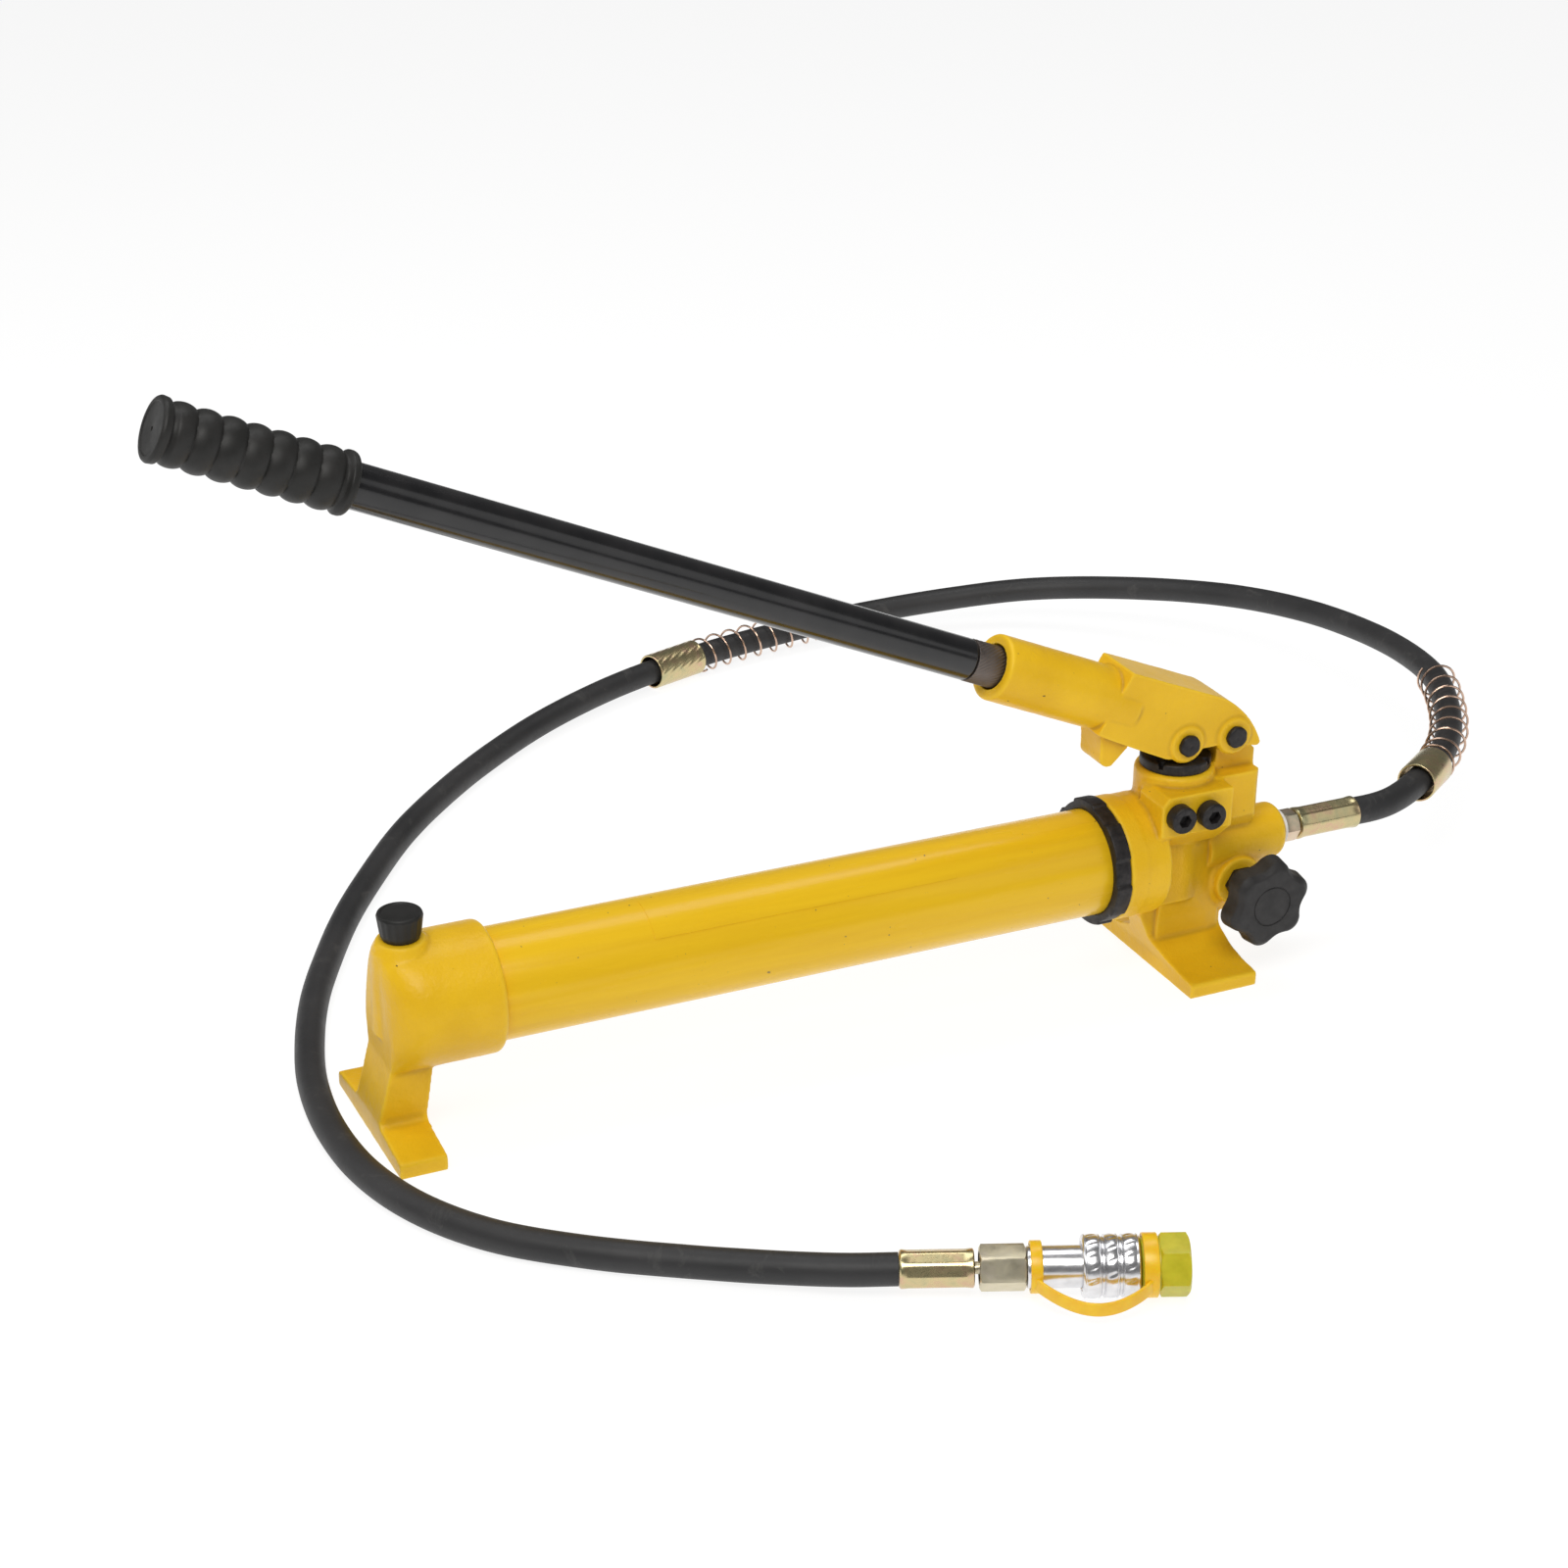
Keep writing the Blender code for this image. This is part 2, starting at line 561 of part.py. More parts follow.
def make_plunger_set():
    profile = [(0, PLUNGER_BOTTOM), (PLUNGER_R - 1, PLUNGER_BOTTOM), (PLUNGER_R, PLUNGER_BOTTOM + 1),
               (PLUNGER_R, 137), (9.7, 138.9), (0, 138.9)]
    plunger = turned("plunger", profile, "z", (0, 0, 0), 20)
    z = PIVOT[2]
    top = [(-13, 141.4), (-9, 138.6), (9, 138.6), (11.6, 141.4), (11.6, z + 6), (8, z + 9.5), (-9.4, z + 9.5), (-13, z + 6)]
    union(plunger, prism("eye", top, -LUG_Y, LUG_Y, "-y"))
    # the cross hole is a short level slot, because the pin moves on an arc
    half = PIN_R + 0.95
    slot = arc((PIN_X - 0.2, z - half), (PIN_X - 0.2, z + half), half * 0.99, 6)
    slot += arc((2.9, z + half), (2.9, z - half), half * 0.99, 6)
    subtract(plunger, prism("slot", slot, -15, 15, "-y"))
    finish(plunger, "steel")
    hang("plunger_axis", (0, 0, PLUNGER_BOTTOM), [plunger])
    gland = [(11.1, 120.4), (17.3, 120.4), (17.3, BOSS_TOP + GAP), (GLAND_FLANGE_R, BOSS_TOP + GAP),
             (GLAND_FLANGE_R, GLAND_TOP - 1.5), (GLAND_FLANGE_R - 1.5, GLAND_TOP), (13.6, GLAND_TOP),
             (13.6, 133.6), (11.1, 133.6)]
    finish(turned("gland_nut", gland, "z", (0, 0, 0), 24), "black_oxide")
    finish(ring("wiper_ring", 11.1, 13.3, 133.9, GLAND_TOP + 0.6, "z", (0, 0, 0), 24), "seal")
    finish(ring("plunger_seal", 11.1, 14.2, 112.3, 120.1, "z", (0, 0, 0), 20), "seal")


def make_relief(tag, x, z):
    centre = (x, 0, z)
    front = -PAD_Y + GAP
    profile = [(0, 26), (4.7, 26), (4.7, front), (8.3, front), (8.3, front + 6.6), (7.2, front + 8), (0, front + 8)]
    plug = turned("relief_plug_" + tag, profile, "-y", centre, 16)
    subtract(plug, prism("key", hexagon(7), front + 3.5, front + 12, "-y", centre))
    finish(plug, "black_oxide")
    coil_spring("relief_spring_" + tag, 2.0, 0.7, 4.4, 3, "-y", (x, -21.3, z))
    finish(bpy.data.objects["relief_spring_" + tag], "steel")
    finish(ball("relief_ball_" + tag, 1.9, (x, -19.2, z)), "steel")


def ball(name, radius, centre):
    bm = bmesh.new()
    bmesh.ops.create_icosphere(bm, subdivisions=1, radius=radius)
    bmesh.ops.translate(bm, vec=centre, verts=bm.verts)
    return new_object(name, bm)


def make_valves():
    finish(ball("suction_check_ball", 2.3, (-14.5, 0, 66)), "steel")
    finish(ball("outlet_check_ball", 3.2, (38.2, 0, PORT_Z)), "steel")
    finish(coil_spring("outlet_check_spring", 2.9, 0.9, 17.5, 5, "x", (41.9, 0, PORT_Z)), "steel")
    centre = (VALVE_X, 0, VALVE_Z)
    finish(ball("release_ball", 3.2, (VALVE_X, 7.6, VALVE_Z)), "steel")
    gland = prism("release_gland", hexagon(19), 20 + GAP, 27, "-y", centre)
    union(gland, rod("thread", 6.7, 8, 22, "-y", centre, 20))
    subtract(gland, rod("hole", 4.3, 0, 40, "-y", centre, 16))
    finish(gland, "black_oxide")
    spindle = [(0, -4), (1.2, -4), (4.0, 1), (4.0, 47), (0, 47)]
    spindle = finish(turned("release_spindle", spindle, "-y", centre, 16), "steel")
    outline = []
    for i in range(48):
        angle = 2 * math.pi * i / 48
        radius = 26.1 + 2.5 * math.cos(6 * (angle - KNOB_TURN))
        outline.append((radius * math.sin(angle), radius * math.cos(angle)))
    knob = prism("release_knob", outline, 40, 56, "-y", centre)
    union(knob, rod("hub", 9.5, 32, 42, "-y", centre, 24))
    subtract(knob, rod("hole", 4.3, 30, 47.3, "-y", centre, 16),
             turned("dish", [(0, 55.2), (11, 55.2), (11.8, 57), (0, 57)], "-y", centre, 24))
    finish(knob, "black_plastic")
    hang("release_axis", (VALVE_X, -40, VALVE_Z), [spindle, knob], (0, -1, 0))


# ---------------------------------------------------------------- handle and pins

def make_handle():
    shank = [(0, -58), (12.4, -58), (12.4, 13.2), (9.1, 13.6), (9.1, 40), (0, 40)]
    pieces = [finish(turned("handle_shank", shank, HANDLE_AXIS, MOUTH, 24), "steel")]
    r = HANDLE_TUBE_R
    tube = [(9.4, 18), (r - 1.2, 18), (r, 19.5), (r, GRIP_END - 7), (9.4, GRIP_END - 7)]
    pieces.append(finish(turned("handle_tube", tube, HANDLE_AXIS, MOUTH, 24), "gloss_black"))
    low, high, bore = GRIP_START, GRIP_END, r + GAP
    profile = [(bore, low), (16.6, low), (17.2, low + 1), (17.2, low + 5), (15.0, low + 6)]
    pitch = (high - 6 - (low + 6)) / GRIP_LOBES
    for i in range(GRIP_LOBES):
        start = low + 6 + i * pitch
        profile += [(16.5, start + pitch / 2), (14.6, start + pitch)]
    profile += [(17.2, high - 5), (17.2, high - 1.2), (15.5, high), (0, high), (0, high - 6.5), (bore, high - 6.5)]
    pieces.append(finish(turned("grip", profile, HANDLE_AXIS, MOUTH, 16), "black_plastic"))
    return pieces


def make_pin(name, x, z):
    y = CHEEK_BOSS_Y + GAP
    profile = [(0, -24.5), (PIN_R - 0.6, -24.5), (PIN_R, -23.9), (PIN_R, -22.0), (4.2, -22.0), (4.2, -y),
               (PIN_R, -y), (PIN_R, y), (6.6, y), (6.6, y + 2.2), (5.8, y + 3), (0, y + 3)]
    pin = finish(turned(name, profile, "-y", (x, 0, z), 14), "black_oxide")
    opening = math.radians(50)
    outer = []
    inner = []
    for i in range(13):
        angle = opening + (2 * math.pi - 2 * opening) * i / 12
        outer.append((7.6 * math.cos(angle), 7.6 * math.sin(angle)))
        inner.append((4.6 * math.cos(angle), 4.6 * math.sin(angle)))
    clip = prism(name + "_clip", outer + inner[::-1], -21.6, -y - 0.3, "-y", (x, 0, z))
    return [pin, finish(clip, "black_oxide")]


# ---------------------------------------------------------------- hose and coupler

def spline_through(points, per_span=12):
    """Centripetal Catmull-Rom curve through the route's points."""
    knots = [Vector(p) for p in points]
    knots = [knots[0] * 2 - knots[1]] + knots + [knots[-1] * 2 - knots[-2]]
    curve = []
    for a, b, c, d in zip(knots, knots[1:], knots[2:], knots[3:]):
        t1 = math.sqrt((b - a).length)
        t2 = t1 + math.sqrt((c - b).length)
        t3 = t2 + math.sqrt((d - c).length)
        for i in range(per_span):
            t = t1 + (t2 - t1) * i / per_span
            ab = a * ((t1 - t) / t1) + b * (t / t1)
            bc = b * ((t2 - t) / (t2 - t1)) + c * ((t - t1) / (t2 - t1))
            cd = c * ((t3 - t) / (t3 - t2)) + d * ((t - t2) / (t3 - t2))
            abc = ab * ((t2 - t) / t2) + bc * (t / t2)
            bcd = bc * ((t3 - t) / (t3 - t1)) + cd * ((t - t1) / (t3 - t1))
            curve.append(abc * ((t2 - t) / (t2 - t1)) + bcd * ((t - t1) / (t2 - t1)))
    curve.append(knots[-2])
    return curve


class Line:
    """A curve that can be read at any distance along it."""

    def __init__(self, points):
        self.points = np.array([tuple(p) for p in points])
        steps = np.linalg.norm(np.diff(self.points, axis=0), axis=1)
        self.marks = np.concatenate(([0.0], np.cumsum(steps)))
        self.length = float(self.marks[-1])

    def at(self, distance):
        return Vector([float(np.interp(distance, self.marks, self.points[:, k])) for k in range(3)])

    def along(self, distance):
        return (self.at(distance + 4) - self.at(distance - 4)).normalized()


def coupler_point(s):
    return COUPLER_START + COUPLER_AXIS * s


COUPLER_AXIS = (COUPLER_END - COUPLER_START).normalized()


def hose_line():
    lead = [coupler_point(-26), coupler_point(-GAP)]
    return Line(spline_through(HOSE_ROUTE + lead))


def make_hose(line):
    free = line.length - 2 * HOSE_LEAD
    count = round(free / HOSE_STEP)
    marks = [0.0] + [HOSE_LEAD + free * i / count for i in range(count + 1)] + [line.length]
    curve = bpy.data.curves.new("hose", "CURVE")
    curve.dimensions = "3D"
    curve.bevel_depth = HOSE_R * MM
    curve.bevel_resolution = 2
    curve.use_fill_caps = True
    spline = curve.splines.new("POLY")
    spline.points.add(len(marks) - 1)
    for point, mark in zip(spline.points, marks):
        point.co = (*(line.at(mark) * MM), 1.0)
    hose = bpy.data.objects.new("hose", curve)
    bpy.context.scene.collection.objects.link(hose)
    colour, roughness, metallic = LOOKS["rubber"]
    curve.materials.append(material("hose", colour, roughness, metallic))


def make_guard(tag, line, sleeve_from, sleeve_to, spring_from, spring_to, turns):
    """Steel sleeve and open spring that guard the hose against kinking."""
    middle = (sleeve_from + sleeve_to) / 2
    half = (sleeve_to - sleeve_from) / 2
    sleeve = ring(tag + "_guard_sleeve", 11.2, 12.7, -half, half, line.along(middle), line.at(middle), 20)
    finish(sleeve, "yellow_zinc")
    radius = 12.2
    points = []
    steps = turns * 10
    centres = [line.at(spring_from + (spring_to - spring_from) * i / steps) for i in range(steps + 1)]
    centres, frames = frames_along(centres)
    for i, (centre, (side, up)) in enumerate(zip(centres, frames)):
        angle = 2 * math.pi * i / 10
        points.append(centre + side * (radius * math.cos(angle)) + up * (radius * math.sin(angle)))
    finish(swept(tag + "_guard_spring", points, circle(0.8, 4)), "copper_wire")


def make_port_fittings():
    centre = (0, 0, PORT_Z)
    finish(ring("outlet_washer", 8.2, 11.5, PORT_END + GAP, PORT_END + 2.6, "x", centre, 20), "ptfe")
    adapter = prism("outlet_adapter", hexagon(17.5), PORT_END + 2.9, 88.6, "x", centre)
    union(adapter, rod("thread", 7.7, 60, 80, "x", centre, 20))
    subtract(adapter, rod("bore", 3.2, 50, 95, "x", centre, 12))
    finish(adapter, "zinc")
    profile = [(3.2, 89.0), (8.6, 89.0), (FERRULE_R, 90.5), (FERRULE_R, 131.2), (9.2, HOSE_START[0] - GAP),
               (3.2, HOSE_START[0] - GAP)]
    finish(turned("pump_end_ferrule", profile, "x", centre, 20), "yellow_zinc")


def make_coupler():
    axis = COUPLER_AXIS
    start = COUPLER_START
    ferrule = [(3.2, 0), (9.2, 0), (FERRULE_R, 1.5), (FERRULE_R, 38), (3.2, 38)]
    finish(turned("coupler_end_ferrule", ferrule, axis, start, 20), "yellow_zinc")
    nut = prism("coupler_adapter", hexagon(21), 40.5, 64, axis, start)
    union(nut, rod("shoulder", 8.4, 38.3, 42, axis, start, 16), rod("thread", 6.5, 63, 80, axis, start, 16))
    subtract(nut, rod("bore", 3.2, 30, 90, axis, start, 12))
    finish(nut, "zinc")
    body = [(6.8, 64.4), (10.8, 64.4), (10.8, 94.5), (12.2, 94.5), (12.2, 97.5), (10.8, 97.5), (10.8, 120.5),
            (8.0, 120.5), (8.0, 86), (6.8, 84)]
    finish(turned("coupler_body", body, axis, start, 18), "chrome")
    poppet = [(0, 98), (5.6, 98), (7.4, 101), (7.4, 103), (2.5, 105), (2.5, 109), (0, 109)]
    finish(turned("coupler_poppet", poppet, axis, start, 14), "chrome")
    finish(coil_spring("poppet_spring", 5.4, 1.1, 16.3, 4, axis, coupler_point(81.2)), "steel")
    r = COLLAR_R
    collar = [(12.7, 92), (r - 1, 92), (r, 93)]
    for groove in (101, 110):
        collar += [(r, groove), (r - 1.2, groove + 0.8), (r - 1.2, groove + 1.8), (r, groove + 2.6)]
    collar += [(r, 120), (r - 1, 121), (11.1, 121), (11.1, 108.5), (12.7, 108.5)]
    collar = finish(turned("coupler_collar", collar, axis, start, 20), "chrome")
    finish(coil_spring("collar_spring", 11.75, 0.9, 10.4, 3, axis, coupler_point(97.8), 4, 12), "steel")
    hang("collar_axis", coupler_point(106), [collar], axis)
    cap = prism("dust_cap", hexagon(28.5), 131, 146.3, axis, start)
    union(cap, rod("neck", 14.2, 121.6, 133, axis, start, 24), rod("plug", 7.5, 111.5, 123, axis, start, 16))
    subtract(cap, rod("hollow", 10.5, 127, 150, axis, start, 18))
    finish(cap, "cap_plastic")
    strap = make_strap(axis, start)
    hang("dust_cap_axis", coupler_point(130), [cap, strap], axis)


def make_strap(axis, start):
    """Loose ring round the stem, ring on the cap's neck and the band between them."""
    strap = ring("dust_cap_strap", 11.6, 13.4, 66, 72, axis, start, 24)
    union(strap, ring("cap_ring", 14.5, 16.4, 122.4, 130.2, axis, start, 24))
    side = Vector(axis).cross(Vector((0, 0, 1))).normalized()
    up = side.cross(Vector(axis)).normalized()
    band = []
    for i in range(13):
        t = i / 12
        out = 12.6 + 16.5 * math.sin(math.pi * t) ** 0.8 + 2.8 * t
        down = 2.0 + 3.5 * math.sin(math.pi * t)
        band.append(start + Vector(axis) * (69 + 57.3 * t) + side * out - up * down)
    section = [(-0.9, -3.6), (0.9, -3.6), (0.9, 3.6), (-0.9, 3.6)]
    band = oriented_band("band", band, section, up)
    return finish(union(strap, band), "strap_plastic")


def oriented_band(name, points, section, up):
    """Sweep a section whose second direction stays near the given up."""
    bm = bmesh.new()
    rings = []
    for i, point in enumerate(points):
        tangent = (points[min(i + 1, len(points) - 1)] - points[max(i - 1, 0)]).normalized()
        side = tangent.cross(up).normalized()
        rise = side.cross(tangent).normalized()
        rings.append([bm.verts.new(point + side * a + rise * b) for a, b in section])
    for low, high in zip(rings, rings[1:]):
        for i in range(len(section)):
            j = (i + 1) % len(section)
            bm.faces.new((low[i], low[j], high[j], high[i]))
    bm.faces.new(rings[0])
    bm.faces.new(rings[-1])
    return new_object(name, bm)


# ---------------------------------------------------------------- build

def build():
    clear_scene()
    make_head()
    make_rear_cap()
    make_lock_ring()
    make_reservoir()
    make_filler()
    make_plunger_set()
    for tag, (x, z) in PLUGS.items():
        make_relief(tag, x, z)
    make_valves()
    swinging = [make_lever()] + make_handle()
    swinging += make_pin("plunger_pin", PIN_X, PIVOT[2])
    swinging += make_pin("pivot_pin", PIVOT[0], PIVOT[2])
    hang("lever_axis", PIVOT, swinging, (0, 1, 0))
    make_port_fittings()
    line = hose_line()
    make_hose(line)
    make_guard("pump_end", line, 66, 98, 103, 250, 8)
    make_guard("far", line, 935, 978, 832, 930, 7)
    make_coupler()


build()
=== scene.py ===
"""Looks of the two-foot hydraulic hand pump: castings, reservoir, lever, hose and coupler.

Lengths are millimetres in the part's own frame, and MM turns them into metres.
"""
import math

import bmesh
import bpy
import numpy as np
from mathutils import Matrix, Vector, noise


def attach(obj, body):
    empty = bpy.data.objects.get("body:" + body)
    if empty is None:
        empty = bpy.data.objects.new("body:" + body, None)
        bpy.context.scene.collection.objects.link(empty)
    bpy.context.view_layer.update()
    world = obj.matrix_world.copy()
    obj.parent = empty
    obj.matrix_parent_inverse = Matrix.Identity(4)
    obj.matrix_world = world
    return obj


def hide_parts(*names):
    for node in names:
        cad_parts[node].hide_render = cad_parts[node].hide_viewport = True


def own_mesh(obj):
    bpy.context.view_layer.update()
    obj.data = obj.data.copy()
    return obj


MM = 0.001
TAU = 2 * math.pi
FIT = 0.3  # gap between a piece and its seat

# reservoir and head, as the frame has them
TANK_Z = 76.0
TUBE_R = 32.0
TUBE_INNER_R = 28.5
TUBE_ENDS = (-471.7, -29.3)
FILM_ENDS = (-346, -158)
LOCK_RING_R = 36.9
LOCK_LUG = 1.7
LOCK_RING_REAR = -58
BARREL_R = 37.5
CAP_FRONT = -436.1
CAP_REAR = -499.3
CAP_CREASE = -479.0
LOFT_R = 37.45
SLAB_HALF = 20.3
SLAB_BEND_Z = 62.0
SLAB_LEAN = 0.357
FILLER_X = -484.1
FILLER_PAD_TOP = 115.5
FOOT_HALF = 55.4
FOOT_EDGE = 9.0
FOOT_WEB_TOP = 60
FRONT_FOOT = (-13.0, 33.0)
REAR_FOOT = (-507.6, -480.3)
BOSS_R = 24.2
CORE_R = 18.5
BOSS_TOP = 130.6
HEAD_REAR = -47.7
GLAND_R = 21.3
GLAND_TOP = 137.5
PLUNGER_R = 10.7
PLUNGER_BORE_R = 11.1
PORT_Z = 72.8
PORT_R = 17.0
PORT_END = 75.2
VALVE = (39.4, 0.0, 52.0)
SPINDLE_R = 4.0
KNOB_SIDES = 6
PAD_Y = -32.0
PLUGS = {"high": (-15.9, 111.9), "low": (4.5, 110.6)}

# lever
PIVOT = (28.4, 0.0, 150.5)
PIN_X = -4.1
PIN_R = 5.0
CHEEK_Y = 18.0
CHEEK_BOSS_Y = 19.5
SLOT_Y = 10.3
LUG_Y = 9.8
HANDLE_ANGLE = math.radians(23.42)
MOUTH = (-127.6, 0.0, 213.9)
HANDLE_AXIS = (-math.cos(HANDLE_ANGLE), 0.0, math.sin(HANDLE_ANGLE))
SOCKET_R = 19.5
HANDLE_R = 12.2
GRIP = (406.0, 511.0)
GRIP_LOBES = 7
SHANK_R = 12.4
TUBE_BORE_R = 9.4

# hose and coupler
HOSE_R = 8.65
OIL_BORE_R = 3.2
FERRULE_R = 10.0
GUARD_COIL_R = 12.2
GUARD_SLEEVE_R = 12.7
HOSE_START = (133.0, 0.0, 72.8)
COUPLER_START = Vector((-311.1, -257.7, 14.3))
COUPLER_AXIS = (Vector((-178.1, -318.6, 18.3)) - COUPLER_START).normalized()
STEM_R = 10.8
COLLAR_R = 16.2
COLLAR_SPRING = (98.3, 107.7)
HOSE_ROUTE = [
    HOSE_START, (147, 0, 72.8), (162, 3, 72.7), (185, 14, 72.4), (232, 47, 72), (262, 78, 72), (292, 123, 71),
    (312, 164, 70), (322, 210, 68), (326, 266, 63), (318, 330, 57), (295, 398, 48), (248, 462, 38),
    (188, 508, 30), (124, 531, 23), (50, 540, 18), (-16, 536, 15), (-78, 525, 13.6),
    (-146, 502, 13.4), (-189, 482, 13.2), (-237, 456, 11.5), (-288, 420, 9.5), (-332, 381, 8.9),
    (-376, 334, 8.9), (-416, 280, 8.9), (-447, 233, 8.9), (-473, 186, 8.9), (-495, 141, 8.9),
    (-513, 92, 8.9), (-525, 46, 8.9), (-530, -4, 8.9), (-526, -54, 8.9), (-511, -99, 8.9),
    (-485, -138, 8.9), (-446, -172, 8.9), (-403, -201, 9.1), (-362, -229, 11.3),
]

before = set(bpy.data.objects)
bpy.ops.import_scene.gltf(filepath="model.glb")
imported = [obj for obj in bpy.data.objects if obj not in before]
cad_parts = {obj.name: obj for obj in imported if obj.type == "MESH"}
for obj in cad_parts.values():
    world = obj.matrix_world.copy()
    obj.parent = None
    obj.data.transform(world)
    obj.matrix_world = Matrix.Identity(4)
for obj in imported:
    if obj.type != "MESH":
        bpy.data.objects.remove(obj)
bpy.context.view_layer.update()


# ---- camera and light

def make_camera():
    position = Vector((-0.91475, -1.40590, 0.88718))
    yaw, pitch, roll = 0.4374, 0.4359, 0.0107
    forward = Vector((math.sin(yaw) * math.cos(pitch), math.cos(yaw) * math.cos(pitch), -math.sin(pitch)))
    level = Vector((math.cos(yaw), -math.sin(yaw), 0))
    rise = level.cross(forward)
    right = level * math.cos(roll) + rise * math.sin(roll)
    up = rise * math.cos(roll) - level * math.sin(roll)
    data = bpy.data.cameras.new("camera")
    data.sensor_width = 36.0
    data.lens = 70.22
    camera = bpy.data.objects.new("camera", data)
    turn = Matrix((right, up, -forward)).transposed().to_4x4()
    camera.matrix_world = Matrix.Translation(position) @ turn
    bpy.context.scene.collection.objects.link(camera)
    bpy.context.scene.camera = camera


def make_area(name, place, target, size, power, colour=(1, 1, 1)):
    data = bpy.data.lights.new(name, "AREA")
    data.shape = "RECTANGLE"
    data.size, data.size_y = size
    data.energy = power
    data.color = colour
    lamp = bpy.data.objects.new(name, data)
    lamp.location = place
    lamp.rotation_mode = "QUATERNION"
    lamp.rotation_quaternion = (Vector(target) - Vector(place)).to_track_quat("-Z", "Y")
    bpy.context.scene.collection.objects.link(lamp)


def make_studio():
    scene = bpy.context.scene
    scene.view_settings.view_transform = "Standard"
    world = bpy.data.worlds.new("studio")
    scene.world = world
    world.use_nodes = True
    sky = world.node_tree.nodes["Background"]
    sky.inputs["Color"].default_value = (1, 1, 1, 1)
    sky.inputs["Strength"].default_value = 0.17
    middle = (-0.1, 0.0, 0.1)
    make_area("key", (-1.0, -1.4, 2.2), middle, (1.6, 1.1), 37, (1.0, 0.985, 0.96))
    make_area("fill", (1.6, -1.6, 1.3), middle, (1.4, 1.4), 4)
    make_area("top", (-0.1, 0.7, 2.3), middle, (2.6, 0.8), 19)
    make_area("rim", (-1.9, 0.9, 1.2), middle, (0.8, 1.6), 6)
    bpy.ops.mesh.primitive_plane_add(size=1, location=(0, 0, 0))
    floor = bpy.context.object
    floor.name = "floor"
    floor.scale = (14, 14, 1)
    shade = Look("floor", (0.22, 0.22, 0.22), 0.9, Specular_IOR_Level=0.0,
                 Emission_Color=(1.0, 1.0, 1.0, 1.0), Emission_Strength=0.87)
    floor.data.materials.append(shade.material)


# ---- materials

class Look:
    """A Principled material with helpers for procedural detail in object space."""

    def __init__(self, name, colour, roughness, metallic=0.0, **sockets):
        self.material = bpy.data.materials.new(name)
        self.material.use_nodes = True
        self.tree = self.material.node_tree
        self.shader = self.tree.nodes["Principled BSDF"]
        self.shader.inputs["Base Color"].default_value = (*colour, 1.0)
        self.shader.inputs["Roughness"].default_value = roughness
        self.shader.inputs["Metallic"].default_value = metallic
        for key, value in sockets.items():
            self.shader.inputs[key.replace("_", " ")].default_value = value
        self.place = self.tree.nodes.new("ShaderNodeTexCoord").outputs["Object"]
        self.height = None

    def node(self, kind, settings=(), **inputs):
        made = self.tree.nodes.new(kind)
        for key, value in dict(settings).items():
            setattr(made, key, value)
        for key, value in inputs.items():
            socket = made.inputs[key.replace("_", " ")]
            if isinstance(value, bpy.types.NodeSocket):
                self.tree.links.new(value, socket)
            else:
                socket.default_value = value
        return made

    def noise(self, size, detail=3.0, roughness=0.5, stretch=None, distortion=0.0):
        """Noise whose features are about `size` millimetres across."""
        place = self.place
        if stretch:
            place = self.node("ShaderNodeMapping", Vector=place, Scale=stretch).outputs["Vector"]
        made = self.node("ShaderNodeTexNoise", Vector=place, Scale=1 / (size * MM), Detail=detail,
                         Roughness=roughness, Distortion=distortion)
        return made.outputs["Fac"]

    def ramp(self, value, *stops):
        """Colour ramp through (position, colour or grey) stops."""
        made = self.node("ShaderNodeValToRGB", Fac=value)
        points = made.color_ramp.elements
        while len(points) < len(stops):
            points.new(0.5)
        for point, (position, colour) in zip(points, stops):
            point.position = position
            shade = (colour,) * 3 if isinstance(colour, (int, float)) else colour
            point.color = (*shade, 1.0)
        return made.outputs["Color"]

    def feed(self, sockets, values):
        """Link or set each socket, and make a colour of every tuple."""
        for socket, value in zip(sockets, values):
            if isinstance(value, bpy.types.NodeSocket):
                self.tree.links.new(value, socket)
            else:
                socket.default_value = (*value, 1.0) if isinstance(value, tuple) else value

    def mix(self, factor, a, b):
        made = self.node("ShaderNodeMix", {"data_type": "RGBA", "blend_type": "MIX"})
        self.feed((made.inputs[0], made.inputs[6], made.inputs[7]), (factor, a, b))
        return made.outputs[2]

    def multiply(self, a, b):
        made = self.node("ShaderNodeMath", {"operation": "MULTIPLY"})
        self.feed(made.inputs, (a, b))
        return made.outputs[0]

    def attribute(self, name):
        return self.node("ShaderNodeAttribute", {"attribute_name": name}).outputs["Fac"]

    def colour(self, socket):
        self.tree.links.new(socket, self.shader.inputs["Base Color"])
        return self

    def roughness(self, value, low, high):
        made = self.node("ShaderNodeMapRange", Value=value, To_Min=low, To_Max=high)
        self.tree.links.new(made.outputs["Result"], self.shader.inputs["Roughness"])
        return self

    def bump(self, height, distance, strength=1.0):
        """Adds a height map; `distance` is its depth in millimetres."""
        made = self.node("ShaderNodeBump", Height=height, Distance=distance * MM, Strength=strength)
        if self.height is not None:
            self.tree.links.new(self.height, made.inputs["Normal"])
        self.height = made.outputs["Normal"]
        self.tree.links.new(self.height, self.shader.inputs["Normal"])
        return self


